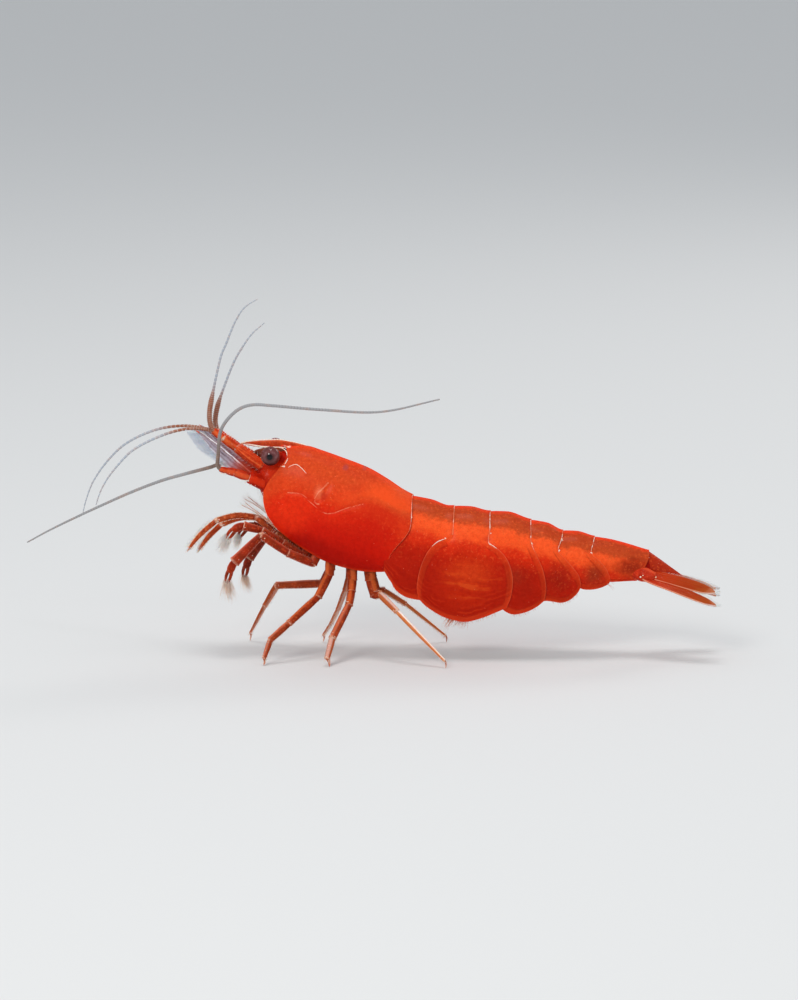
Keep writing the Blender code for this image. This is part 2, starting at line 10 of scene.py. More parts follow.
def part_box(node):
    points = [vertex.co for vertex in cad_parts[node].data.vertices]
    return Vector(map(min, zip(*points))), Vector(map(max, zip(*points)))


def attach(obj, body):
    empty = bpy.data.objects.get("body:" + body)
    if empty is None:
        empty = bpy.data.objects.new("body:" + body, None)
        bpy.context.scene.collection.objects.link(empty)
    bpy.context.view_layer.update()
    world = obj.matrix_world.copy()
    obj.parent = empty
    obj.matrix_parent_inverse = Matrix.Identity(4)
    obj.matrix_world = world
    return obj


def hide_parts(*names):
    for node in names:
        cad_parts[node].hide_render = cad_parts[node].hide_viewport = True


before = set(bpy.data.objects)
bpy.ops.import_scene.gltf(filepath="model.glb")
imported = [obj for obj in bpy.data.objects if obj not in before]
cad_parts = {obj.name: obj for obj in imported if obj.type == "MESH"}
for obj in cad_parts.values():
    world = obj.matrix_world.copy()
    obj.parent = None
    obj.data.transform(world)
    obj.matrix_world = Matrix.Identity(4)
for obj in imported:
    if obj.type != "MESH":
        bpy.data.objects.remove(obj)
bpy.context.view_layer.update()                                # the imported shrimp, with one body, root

mm = 0.001                                       # pieces are modelled in millimetres, then scaled
noseLow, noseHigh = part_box("rostrum")
# x = y = z = 0 of the model's own millimetres: on the floor below the tip of the rostrum
noseTip = Vector((noseLow.x, (noseLow.y + noseHigh.y) / 2, 0))
bothSides = (("left", -1), ("right", 1))
# edges bent by more radians than sharpFrom are rounded, by this part of the wall
walls = {"sharpFrom": 0.9, "rounding": 0.3}
random.seed(7)


def levelLine(points):
    # a monotone curve through (x, value) pairs
    xs, values = np.array(points, float).T
    slopes = np.diff(values) / np.diff(xs)
    tangents = np.concatenate(([slopes[0]], np.zeros(len(xs) - 2), [slopes[-1]]))
    for i in range(1, len(xs) - 1):
        if slopes[i - 1] * slopes[i] > 0:
            tangents[i] = 2 / (1 / slopes[i - 1] + 1 / slopes[i])

    def value(x):
        x = min(max(x, xs[0]), xs[-1])
        i = min(int(np.searchsorted(xs, x, side="right")) - 1, len(xs) - 2)
        width = xs[i + 1] - xs[i]
        t = (x - xs[i]) / width
        rise = values[i] * (2 * t ** 3 - 3 * t ** 2 + 1) + values[i + 1] * (3 * t ** 2 - 2 * t ** 3)
        lean = tangents[i] * (t ** 3 - 2 * t ** 2 + t) + tangents[i + 1] * (t ** 3 - t ** 2)
        return float(rise + width * lean)

    return value


def smoothPath(points, count):
    # evenly spaced points on a smooth curve
    knots = np.array(points, float)
    knots = np.vstack([2 * knots[0] - knots[1], knots, 2 * knots[-1] - knots[-2]])
    fine = []
    for a, b, c, d in zip(knots, knots[1:], knots[2:], knots[3:]):
        for t in np.linspace(0, 1, 16, endpoint=False):
            fine.append(0.5 * (2 * b + (c - a) * t + (2 * a - 5 * b + 4 * c - d) * t ** 2
                               + (3 * b - a - 3 * c + d) * t ** 3))
    fine = np.array(fine + [knots[-2]])
    run = np.concatenate(([0], np.cumsum(np.linalg.norm(np.diff(fine, axis=0), axis=1))))
    marks = np.linspace(0, run[-1], count)
    return np.array([np.interp(marks, run, fine[:, k]) for k in range(fine.shape[1])]).T


def fade(value, low, high):
    # 0 below low, 1 above high, smooth between
    t = min(max((value - low) / (high - low), 0), 1)
    return t * t * (3 - 2 * t)


def eased(t, part):                              # t with its ends crowded, wholly so where part is 1
    return (1 - part) * t + part * (0.5 - 0.5 * math.cos(math.pi * t))


def spindle(count, ends, more):
    # radii that swell in the middle
    return [ends + more * math.sin(math.pi * k / (count - 1)) for k in range(count)]


def bell(distance, width):
    return math.exp(-(distance / width) ** 2)


def nearLine(x, z, line):
    # how far (x, z) lies from a side-view line
    best = 99.0
    for (x0, z0), (x1, z1) in zip(line, line[1:]):
        dx, dz = x1 - x0, z1 - z0
        t = min(max(((x - x0) * dx + (z - z0) * dz) / (dx * dx + dz * dz), 0), 1)
        best = min(best, math.hypot(x - x0 - t * dx, z - z0 - t * dz))
    return best


def mirrored(points, side):
    # points are given for the left side, which is at -y
    return [(x, y if side < 0 else -y, z) for x, y, z in points]


def newSheet():
    sheet = bmesh.new()
    for name in ("run", "rim", "down", "pale"):
        sheet.verts.layers.float.new(name)
    return sheet


def mark(sheet, verts, **values):
    # writes attribute values that the finishes read
    for name, value in values.items():
        layer = sheet.verts.layers.float[name]
        for vert in verts:
            vert[layer] = value


def framesAlong(path, up=(0.0, 0.0, 1.0)):       # a turned frame at each point, with no twist
    points = [Vector(p) for p in path]
    found, lift = [], Vector(up)
    for i, point in enumerate(points):
        ahead = (points[min(i + 1, len(points) - 1)] - points[max(i - 1, 0)]).normalized()
        lift = (lift - ahead * lift.dot(ahead)).normalized()
        found.append((point, ahead, lift, ahead.cross(lift)))
    return found


def sweepTube(sheet, path, radii, sides=12, flat=1.0, up=(0.0, 0.0, 1.0), **marks):
    # draws a circle out along the path; a radius may be a pair, across and up; flat squashes a single one
    frames = framesAlong(path, up)
    ring = bmesh.ops.create_circle(sheet, cap_ends=True, segments=sides, radius=1)["verts"]
    edges = [e for e in sheet.edges if e.verts[0] in ring and e.verts[1] in ring]
    before = Matrix.Identity(4)
    for i, ((point, ahead, lift, across), radius) in enumerate(zip(frames, radii)):
        wide, high = radius if hasattr(radius, "__len__") else (radius, radius * flat)
        turn = Matrix((across * max(wide, 0.004), lift * max(high, 0.004), ahead)).transposed().to_4x4()
        here = Matrix.Translation(point) @ turn
        if i:
            drawn = bmesh.ops.extrude_edge_only(sheet, edges=edges)["geom"]
            ring = [g for g in drawn if isinstance(g, bmesh.types.BMVert)]
            edges = [g for g in drawn if isinstance(g, bmesh.types.BMEdge)]
        step = here @ before.inverted()
        for vert in ring:                        # down is 1 on the upper and lower edges, 0 at the sides
            vert.co = step @ vert.co
            mark(sheet, [vert], down=abs((vert.co - point).normalized().dot(lift)))
        mark(sheet, ring, **{name: (value[i] if hasattr(value, "__len__") else value)
                             for name, value in marks.items()})
        before = here
    bmesh.ops.contextual_create(sheet, geom=edges)
    return frames


def thicken(sheet, thickness):
    # gives a sheet a wall inwards, with rounded rims
    sheet.normal_update()
    bmesh.ops.solidify(sheet, geom=sheet.faces[:], thickness=thickness)
    sheet.normal_update()
    roundRims(sheet, sheet.edges, thickness)


def roundRims(sheet, edges, thickness):
    sharp = [e for e in edges if len(e.link_faces) == 2 and e.calc_face_angle(0) > walls["sharpFrom"]]
    bmesh.ops.bevel(sheet, geom=sharp, offset=thickness * walls["rounding"], segments=2, profile=0.5,
                    affect="EDGES", material=-1)


def turnUp(sheet):
    # makes the highest face of a sheet look upwards
    top = max(sheet.faces, key=lambda f: f.calc_center_median().z)
    top.normal_update()
    if top.normal.z < 0:
        bmesh.ops.reverse_faces(sheet, faces=sheet.faces)


def addPiece(name, sheet, finish, slot, nodes=()):
    bmesh.ops.transform(sheet, matrix=Matrix.Translation(noseTip) @ Matrix.Scale(mm, 4), verts=sheet.verts)
    mesh = bpy.data.meshes.new(name)
    sheet.to_mesh(mesh)
    sheet.free()
    placeMesh(mesh, finish, slot, nodes)


def addSolid(name, sheet, finish, slot, nodes=()):         # the same for closed shapes, turned outwards first
    bmesh.ops.recalc_face_normals(sheet, faces=sheet.faces)
    addPiece(name, sheet, finish, slot, nodes)


def placeMesh(mesh, finish, slot, nodes=()):
    mesh.shade_smooth()
    mesh.materials.append(finish.material)
    piece = bpy.data.objects.new(mesh.name, mesh)
    bpy.context.scene.collection.objects.link(piece)
    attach(piece, "root")
    if nodes:
        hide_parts(*nodes)


def addBead(sheet, place, radius, rim=1.0, pale=1.0, down=1.0, rounds=2):
    stand = Matrix.Translation(Vector(place))
    ball = bmesh.ops.create_icosphere(sheet, subdivisions=rounds, radius=radius, matrix=stand)
    mark(sheet, ball["verts"], rim=rim, pale=pale, down=down)


class BodyForm:
    # a long body given by its back, belly and half width
    def __init__(self, stations, powers):
        self.top, self.bottom, self.halfWidth = (levelLine([(row[0], row[k]) for row in stations])
                                                 for k in (1, 2, 3))
        self.powers = powers                     # 1 is an ellipse, less is boxier, for upper and lower half

    def levels(self, x):
        # middle height and half height
        top, bottom = self.top(x), self.bottom(x)
        return (top + bottom) / 2, (top - bottom) / 2

    def angleAt(self, x, z):
        middle, half = self.levels(x)
        return math.acos(min(max((z - middle) / half, -1), 1))

    def onSkin(self, x, angle):
        middle, half = self.levels(x)
        power = self.powers[0] if math.cos(angle) > 0 else self.powers[1]
        spread = math.copysign(abs(math.sin(angle)) ** power, math.sin(angle))
        return Vector((x, self.halfWidth(x) * spread, middle + half * math.cos(angle)))

    def at(self, x, angle, lift=0.0):
        # a point on the body, lifted off its skin
        point = self.onSkin(x, angle)
        if lift:
            along = self.onSkin(x + 0.05, angle) - self.onSkin(x - 0.05, angle)
            around = self.onSkin(x, angle + 0.04) - self.onSkin(x, angle - 0.04)
            point += lift * along.cross(around).normalized()
        return point

    def beside(self, x, z, side, lift=0.0):      # the point at x and height z on one side
        return self.at(x, side * self.angleAt(x, z), lift)

    def beadLine(self, line, count, side, lift):
        return [self.beside(x, z, side, lift) for x, z in smoothPath(line, count)]


head = BodyForm([
    (0.55, 11.3, 10.0, 0.45), (1.0, 11.6, 9.0, 0.98), (1.5, 11.9, 8.0, 1.25),
    (2.2, 12.35, 7.1, 1.45), (2.7, 12.5, 6.7, 1.58), (3.56, 12.55, 6.2, 1.75),
    (4.1, 12.47, 5.85, 1.83), (4.69, 12.28, 5.5, 1.9), (6.17, 11.76, 4.95, 2.02),
    (7.54, 11.23, 4.7, 2.08), (8.72, 10.55, 4.7, 2.08), (9.67, 9.9, 4.9, 2.02),
    (10.19, 9.61, 5.1, 1.97), (11.2, 9.3, 5.3, 1.9)], (0.92, 0.62))
abdomen = BodyForm([
    (7.9, 9.9, 3.6, 1.9), (9.0, 9.75, 3.2, 1.97), (10.19, 9.58, 3.0, 2.0),
    (11.3, 9.38, 2.5, 2.06), (12.37, 9.02, 1.85, 2.1), (13.6, 8.98, 1.7, 2.12),
    (14.81, 8.71, 1.95, 2.08), (15.77, 8.69, 2.2, 2.0), (17.21, 8.22, 2.35, 1.86),
    (18.2, 8.03, 2.8, 1.74), (19.12, 7.59, 2.95, 1.62), (19.95, 7.55, 3.35, 1.5),
    (21.0, 7.23, 3.75, 1.32), (21.9, 7.08, 4.35, 1.1), (23.0, 6.8, 4.62, 0.88),
    (24.2, 6.42, 4.62, 0.72), (24.9, 6.2, 4.75, 0.66)], (0.92, 0.6))
# the low edge of the chest, where the legs start
chestEdge = levelLine([(1.42, 9.12), (1.66, 8.46), (2.23, 7.69), (3.3, 6.84), (4.57, 6.07), (5.11, 5.81),
                       (6.06, 5.5), (7.34, 5.26), (8.76, 5.32)])


class Wire:
    # a shader value that takes part in plain sums
    def __init__(self, finish, socket):
        self.finish, self.socket = finish, socket

    def merge(self, operation, first, second):
        return self.finish.node("ShaderNodeMath", {"operation": operation}, {0: first, 1: second})

    def __add__(self, other):
        return self.merge("ADD", self, other)

    def __radd__(self, other):
        return self.merge("ADD", other, self)

    def __sub__(self, other):
        return self.merge("SUBTRACT", self, other)

    def __rsub__(self, other):
        return self.merge("SUBTRACT", other, self)

    def __mul__(self, other):
        return self.merge("MULTIPLY", self, other)

    def __rmul__(self, other):
        return self.merge("MULTIPLY", other, self)


class Finish:
    sockets = {"rough": "Roughness", "coat": "Coat Weight", "coatRough": "Coat Roughness",
               "sss": "Subsurface Weight", "sssScale": "Subsurface Scale", "sssRadius": "Subsurface Radius",
               "specular": "Specular IOR Level"}

    def __init__(self, name, **fixed):
        # fixed values are set on the shader's own sockets
        self.material = bpy.data.materials.new(name)
        self.material.use_nodes = True
        self.tree = self.material.node_tree
        self.shader = self.tree.nodes["Principled BSDF"]
        self.base = None                         # the colour laid so far
        for key, value in fixed.items():
            self.shader.inputs[self.sockets[key]].default_value = value

    def node(self, kind, settings=None, inputs=None, output=0):
        made = self.tree.nodes.new(kind)
        for key, value in (settings or {}).items():
            if key == "stops":
                ramp = made.color_ramp
                ramp.interpolation = "EASE"
                while len(ramp.elements) < len(value):
                    ramp.elements.new(1.0)
                for element, (place, colour) in zip(ramp.elements, value):
                    element.position = place
                    element.color = (*colour, 1)
            else:
                setattr(made, key, value)
        for key, value in (inputs or {}).items():
            if isinstance(value, Wire):
                self.tree.links.new(value.socket, made.inputs[key])
            elif isinstance(value, (tuple, list)) and len(value) == 3 and made.inputs[key].type == "RGBA":
                made.inputs[key].default_value = (*value, 1)
            else:
                made.inputs[key].default_value = value
        return Wire(self, made.outputs[output])

    def place(self):
        # the piece's own place, in metres
        return self.node("ShaderNodeTexCoord", output=3)

    def axis(self, number):
        return self.node("ShaderNodeSeparateXYZ", inputs={0: self.place()}, output=number)

    def attribute(self, name):
        return self.node("ShaderNodeAttribute", {"attribute_name": name}, output=2)

    def noise(self, perMm, detail=3.0, stretch=(1, 1, 1), rough=0.55):
        where = self.node("ShaderNodeMapping", inputs={"Vector": self.place(), "Scale": stretch})
        return self.node("ShaderNodeTexNoise", inputs={"Vector": where, "Scale": perMm / mm, "Detail": detail,
                                                       "Roughness": rough})

    def cells(self, perMm):
        return self.node("ShaderNodeTexVoronoi", inputs={"Vector": self.place(), "Scale": perMm / mm})

    def wave(self, value):
        return self.node("ShaderNodeMath", {"operation": "SINE"}, {0: value})

    def blob(self, x, z, wide, high):
        # 1 at a spot in side view, fading to 0; in millimetres
        scale = (1 / (wide * mm), 0, 1 / (high * mm))
        shift = (-(noseTip.x + x * mm) * scale[0], 0, -z * mm * scale[2])
        where = self.node("ShaderNodeMapping", inputs={"Vector": self.place(), "Location": shift,
                                                       "Scale": scale})
        reach = self.node("ShaderNodeVectorMath", {"operation": "LENGTH"}, {0: where}, 1)
        return self.between(reach + (self.noise(2.6) - 0.5) * 0.5, 1.0, 0.15)

    def between(self, value, low, high):         # 0 at low, 1 at high, smooth between
        return self.node("ShaderNodeMapRange", {"interpolation_type": "SMOOTHSTEP"},
                         {0: value, 1: low, 2: high, 3: 0.0, 4: 1.0})

    def ramp(self, value, low, high, stops):     # stops are (value, colour)
        part = self.node("ShaderNodeMapRange", inputs={0: value, 1: low, 2: high, 3: 0.0, 4: 1.0})
        scaled = [((place - low) / (high - low), colour) for place, colour in stops]
        return self.node("ShaderNodeValToRGB", {"stops": scaled}, {0: part})

    def cloud(self, low, high, *shape, **more):  # patches of noise, 0 where it is at low and 1 at high
        return self.between(self.noise(*shape, **more), low, high)

    def mix(self, factor, first, second, way="MIX"):
        return self.node("ShaderNodeMix", {"data_type": "RGBA", "blend_type": way},
                         {0: factor, 6: first, 7: second}, 2)

    def lay(self, mask, colour, way="MIX"):      # lays a colour over the base where the mask is 1
        self.base = self.mix(mask, self.base, colour, way)

    def join(self, rough=None):
        # joins the base, and a roughness if given, to the shader
        self.tree.links.new(self.base.socket, self.shader.inputs["Base Color"])
        if rough:
            self.tree.links.new(rough.socket, self.shader.inputs["Roughness"])

    def bump(self, height, depthMm, strength=1.0):
        made = self.node("ShaderNodeBump", inputs={"Strength": strength, "Distance": depthMm * mm,
                                                   "Height": height})
        self.tree.links.new(made.socket, self.shader.inputs["Normal"])


def shellRed(name, stops, reach, patches=(), masked=False):
    # deep red in the depth, lighter towards the back, speckled, with thin pale margins and soft patches
    paint = Finish(name, coat=0.085, coatRough=0.26, specular=0.0, sss=0.15, sssScale=0.25 * mm,
                   sssRadius=(1.0, 0.15, 0.05))
    down, rim = paint.attribute("down"), paint.attribute("rim")
    wobble = (paint.noise(1.1, 4.0) - 0.5) * 0.6 + (paint.noise(3.4, 5.0, rough=0.7) - 0.5) * 0.7
    paint.base = paint.ramp(down + wobble * (0.25 + paint.between(down, 0.0, 0.9) * 0.75), 0.0, reach, stops)
    for x, z, wide, high, strength, colour in patches:
        paint.lay(paint.blob(x, z, wide, high) * strength, colour)
    mottle = paint.cloud(0.38, 0.66, 4.5, 5.0, rough=0.7)
    paint.lay(mottle * 0.45, (0.72, 0.5, 0.4), "MULTIPLY")
    glow = paint.cloud(0.52, 0.7, 6.5, 4.0, rough=0.65) * paint.between(down, 4.5, 1.5)
    paint.lay(glow * 0.4, (1.0, 0.15, 0.035))
    dots = 1 - paint.between(paint.cells(9.0), 0.08, 0.24)
    paint.lay(dots * 0.35, (0.34, 0.012, 0.004))
    flecks = (1 - paint.between(paint.cells(4.3), 0.05, 0.1)) * paint.cloud(0.52, 0.6, 1.7)
    paint.lay(flecks * 0.5, (1.0, 0.42, 0.26))
    upper = paint.attribute("pale") if masked else paint.between(down, 2.4, 1.2)
    paint.lay(paint.between(rim, 0.2, 0.05) * upper * 0.25, (0.34, 0.01, 0.003))
    soft = paint.between(rim, 0.2, 0.02) * (1 - upper) * paint.cloud(0.3, 0.6, 1.2)
    paint.lay(soft * 0.45, (0.92, 0.07, 0.014))
    # a clear border with a seam along its inside, on the side plates
    if masked:
        paint.lay(paint.between(rim, 0.4, 0.3) * (1 - upper) * 0.3, (0.56, 0.052, 0.01))
        seam = paint.between(rim, 0.28, 0.34) * paint.between(rim, 0.44, 0.37) * (1 - upper)
        paint.lay(seam * paint.cloud(0.35, 0.55, 1.8) * 0.4, (0.3, 0.007, 0.002))
    paint.lay(paint.between(rim, 0.045, 0.015) * (0.15 + upper * 0.45), (1.0, 0.34, 0.18))
    # painted highlights: broken white glints along the upper margins
    broken = paint.cloud(0.48, 0.58, 1.5, 2.0)
    broken = broken * (0.25 + 0.75 * paint.cloud(0.42, 0.56, 6.0, 2.0))
    glint = paint.between(rim, 0.06, 0.02) * broken * upper
    paint.lay(glint * 0.85, (1.0, 0.84, 0.74))
    return paint


def finishShell(paint):
    paint.join(0.36 + paint.noise(6.0) * 0.18)
    paint.bump(paint.noise(9.0, 4.0) * 0.6 + paint.cells(16.0) * 0.4, 0.01)
    return paint


def hoodFinish():
    paint = shellRed("hoodRed", hoodStops, 7.4, [
        (4.2, 10.9, 2.2, 1.5, 0.5, (0.72, 0.07, 0.016)), (3.0, 8.7, 2.0, 1.7, 0.75, (0.92, 0.036, 0.007)),
        (8.8, 9.9, 1.9, 1.0, 0.7, (0.9, 0.085, 0.016)), (7.9, 7.2, 3.4, 2.3, 0.6, (0.58, 0.008, 0.002)),
        (6.27, 11.39, 0.26, 0.2, 0.75, (0.42, 0.07, 0.07)),
        (7.39, 11.33, 0.22, 0.18, 0.6, (0.42, 0.08, 0.07)),
        # a pale spot on the flap, and a dark spot beside it that is painted shadow of the flap
        (4.7, 9.98, 0.4, 0.6, 0.55, (0.98, 0.22, 0.1)), (5.02, 9.78, 0.3, 0.34, 0.65, (0.5, 0.02, 0.006)),
        (7.1, 10.2, 0.8, 0.4, 0.45, (0.5, 0.022, 0.008)), (9.6, 9.75, 1.0, 0.45, 0.35, (0.6, 0.09, 0.03))])
    zone, line = paint.attribute("run"), paint.attribute("pale")
    # the bright band above the gill cover, and the deep red below it
    reach = paint.blob(8.6, 9.2, 3.4, 2.6)
    band = paint.between(zone, -0.1, 0.2) * paint.between(zone, 1.3, 0.4) * reach
    paint.lay(band * 0.65, (0.98, 0.085, 0.015))
    rear = paint.between(paint.attribute("rim"), 0.055, 0.02) * paint.blob(9.7, 7.2, 1.5, 3.2)
    paint.lay(rear * 0.8, (1.0, 0.36, 0.2))
    paint.lay(paint.between(zone, 0.02, -0.55) * reach * 0.55, (0.6, 0.009, 0.003))
    broken = 0.55 + paint.cloud(0.4, 0.62, 3.0, 2.0) * 0.45
    paint.lay(paint.between(line, 0.046, 0.012) * broken * 0.6, (1.0, 0.34, 0.19))
    # painted highlight: broken white beads along the keel line near the eye
    front = paint.blob(2.95, 11.75, 1.3, 1.1)
    beads = paint.cloud(0.45, 0.55, 7.0, 2.0)
    paint.lay(paint.between(line, 0.06, 0.025) * paint.between(front, 0.1, 0.35) * beads, (1.0, 0.8, 0.68))
    return finishShell(paint)


def ringFinish():
    paint = shellRed("ringRed", ringStops, 7.0, [
        (13.5, 4.7, 2.7, 2.9, 0.75, (0.6, 0.026, 0.004)), (13.6, 5.3, 1.9, 1.3, 0.5, (0.78, 0.068, 0.01)),
        (16.9, 4.6, 1.1, 1.6, 0.65, (0.38, 0.012, 0.003)), (16.3, 5.1, 0.7, 0.9, 0.45, (0.34, 0.03, 0.01)),
        (18.9, 5.0, 1.2, 1.5, 0.7, (0.32, 0.012, 0.004)), (21.0, 5.2, 1.0, 1.0, 0.85, (0.32, 0.03, 0.009)),
        (23.2, 5.5, 1.6, 0.9, 0.88, (0.3, 0.018, 0.005)), (11.2, 5.2, 1.1, 1.6, 0.5, (0.46, 0.014, 0.003)),
        (14.6, 7.3, 0.5, 0.3, 0.4, (0.5, 0.015, 0.005))], masked=True)
    across = paint.axis(2) * 8200 + paint.axis(0) * 700 + paint.noise(0.35, 3.0, (1, 1, 2)) * 16
    bars = paint.wave(across)
    zone = paint.blob(13.7, 4.7, 2.6, 1.6) * paint.cloud(0.35, 0.6, 0.9, 3.0)
    paint.lay(paint.between(bars, 0.1, 0.95) * zone * 0.45, (0.42, 0.012, 0.003))
    paint.lay(paint.between(bars, -0.4, -0.95) * zone * 0.35, (0.88, 0.11, 0.016))
    wave = paint.wave(paint.attribute("run") * 19 + paint.noise(0.7) * 22)
    low = paint.between(paint.attribute("run"), 2.2, 0.5) * paint.between(paint.attribute("down"), 3.4, 4.6)
    low = low * paint.cloud(0.42, 0.62, 0.8, 4.0, (0.6, 1.0, 1.6))
    paint.lay(paint.between(wave, 0.0, 0.9) * low * 0.5, (0.36, 0.008, 0.002))
    paint.lay(paint.between(wave, -0.5, -0.95) * low * 0.22, (0.86, 0.07, 0.014))
    low = paint.between(paint.attribute("rim"), 0.55, 0.1) * paint.between(paint.attribute("down"), 4.2, 5.6)
    paint.lay(low * 0.5, (0.8, 0.05, 0.012))
    return finishShell(paint)


ringStops = [
    (0.0, (0.86, 0.045, 0.01)), (0.16, (0.5, 0.055, 0.014)), (0.62, (0.55, 0.066, 0.016)),
    (1.0, (1.0, 0.105, 0.022)), (1.5, (1.0, 0.095, 0.018)), (2.1, (0.74, 0.03, 0.006)),
    (3.0, (0.52, 0.014, 0.003)), (5.0, (0.46, 0.013, 0.003)), (6.6, (0.44, 0.012, 0.003))]
hoodStops = [
    (0.0, (0.9, 0.055, 0.012)), (0.2, (0.66, 0.058, 0.015)), (0.9, (0.7, 0.07, 0.016)),
    (2.0, (0.8, 0.06, 0.012)), (3.2, (0.78, 0.024, 0.005)), (4.4, (0.66, 0.012, 0.003)),
    (5.6, (0.44, 0.006, 0.002)), (6.6, (0.36, 0.005, 0.002)), (7.2, (0.44, 0.009, 0.003))]


class MarginLine:
    # a side-view line kept as x and angle round the body
    def __init__(self, form, points, shift=0.0):
        line = smoothPath(points, 60) if len(points) > 2 else np.linspace(points[0], points[1], 60)
        self.length = float(np.linalg.norm(np.diff(line, axis=0), axis=1).sum())
        self.marks = np.linspace(0, 1, len(line))
        self.xs = line[:, 0] + shift
        self.angles = np.array([form.angleAt(x, z) for x, z in line])

    def at(self, t):
        return np.array([np.interp(t, self.marks, self.xs), np.interp(t, self.marks, self.angles)])


def shellPlate(form, front, rear, lower, columns, rows, liftAt, frontShift=0.0, rearShift=0.0):
    # a sheet over the back, from the left lower edge round to the right one
    frontLine = MarginLine(form, front, frontShift)
    rearLine = MarginLine(form, rear, rearShift)
    lowerLine = MarginLine(form, lower)
    lowerLine.xs += np.interp(lowerLine.marks, [0, 0.25, 0.75, 1], [frontShift, 0, 0, rearShift])
    corners = [line.at(k) for line in (frontLine, rearLine) for k in (0, 1)]
    sheet = newSheet()
    bmesh.ops.create_grid(sheet, x_segments=columns, y_segments=rows, size=1)
    for vert in sheet.verts:
        t, s = eased((vert.co.x + 1) / 2, 0.45), vert.co.y
        tau = math.sin(abs(s) * math.pi / 2) * 0.35 + abs(s) * 0.65
        spine = np.array([corners[0][0] * (1 - t) + corners[2][0] * t, 0.0])
        place = ((1 - t) * frontLine.at(tau) + t * rearLine.at(tau)
                 + (1 - tau) * spine + tau * lowerLine.at(t)
                 - (1 - t) * (1 - tau) * corners[0] - t * (1 - tau) * corners[2]
                 - (1 - t) * tau * corners[1] - t * tau * corners[3])
        x, angle = float(place[0]), max(float(place[1]), 0.0)
        z = form.onSkin(x, angle).z
        width = abs(float(rearLine.at(tau)[0] - frontLine.at(tau)[0]))
        toLower = (1 - tau) * (frontLine.length + rearLine.length) / 2
        lift, marks = liftAt(x, z, tau, t * width, (1 - t) * width, toLower)
        vert.co = form.at(x, math.copysign(angle, s) if s else angle, lift)
        mark(sheet, [vert], down=form.top(x) - z, **marks)
    turnUp(sheet)
    return sheet


# the carapace, in side view (x, z)
hood = {
    "front": [
        (2.3, 12.37), (2.55, 12.42), (2.74, 12.34), (2.85, 11.89), (2.66, 11.5), (2.3, 11.14), (1.76, 10.55),
        (1.4, 9.94)],
    "lower": [
        (1.4, 9.94), (1.4, 9.45), (1.48, 8.95), (1.66, 8.46), (2.23, 7.69), (3.3, 6.84), (4.57, 6.07),
        (5.11, 5.81), (6.06, 5.5), (7.34, 5.26), (8.5, 5.27), (8.86, 5.43)],
    "rear": [
        (10.19, 9.61), (10.21, 8.64), (10.13, 7.93), (9.8, 7.37), (9.26, 6.75), (8.92, 6.2), (8.86, 5.43)],
    "groove": [(2.87, 9.97), (3.7, 9.89), (4.32, 9.36), (4.94, 8.85), (5.59, 8.81), (6.3, 9.09), (7.4, 9.38)],
    "arc": [
        (1.4, 9.9), (3.7, 9.89), (4.32, 9.36), (4.94, 8.86), (5.59, 8.84), (6.18, 9.2), (6.71, 9.55),
        (7.42, 9.75), (8.12, 9.66), (9.3, 9.03), (10.25, 8.68)],
    "dent": [(4.8, 9.58), (4.98, 9.82), (5.14, 10.12), (5.28, 10.4)],
    "flap": [(5.28, 10.58), (5.0, 10.28), (4.66, 9.94), (4.5, 9.6), (4.56, 9.38), (4.74, 9.34)],
    "lip": [(1.41, 9.9), (1.4, 9.45), (1.48, 8.95), (1.66, 8.46), (1.98, 8.0)],
    "fold": [(2.9, 11.4), (3.08, 11.52), (3.39, 11.58), (3.68, 11.4), (3.98, 11.1)],
    "keel": [(2.05, 12.36), (2.38, 12.39), (2.62, 12.43), (2.95, 12.49)],
    "orbit": [
        (2.36, 12.4), (2.58, 12.36), (2.75, 12.24), (2.83, 12.04), (2.83, 11.84), (2.74, 11.66),
        (2.62, 11.52)], "spine": (2.66, 11.46), "spineWidth": 0.055,
    "rims": {"orbit": (0.024, 0.045), "fold": (0.013, 0.03), "keel": (0.022, 0.05), "lip": (0.008, 0.02)},
    "columns": 110, "rows": 150, "wall": 0.07, "grooveDepth": 0.045, "bead": 0.035}


hoodArc = levelLine(hood["arc"])
hoodGroove, hoodFlap = smoothPath(hood["groove"], 26), smoothPath(hood["flap"], 12)


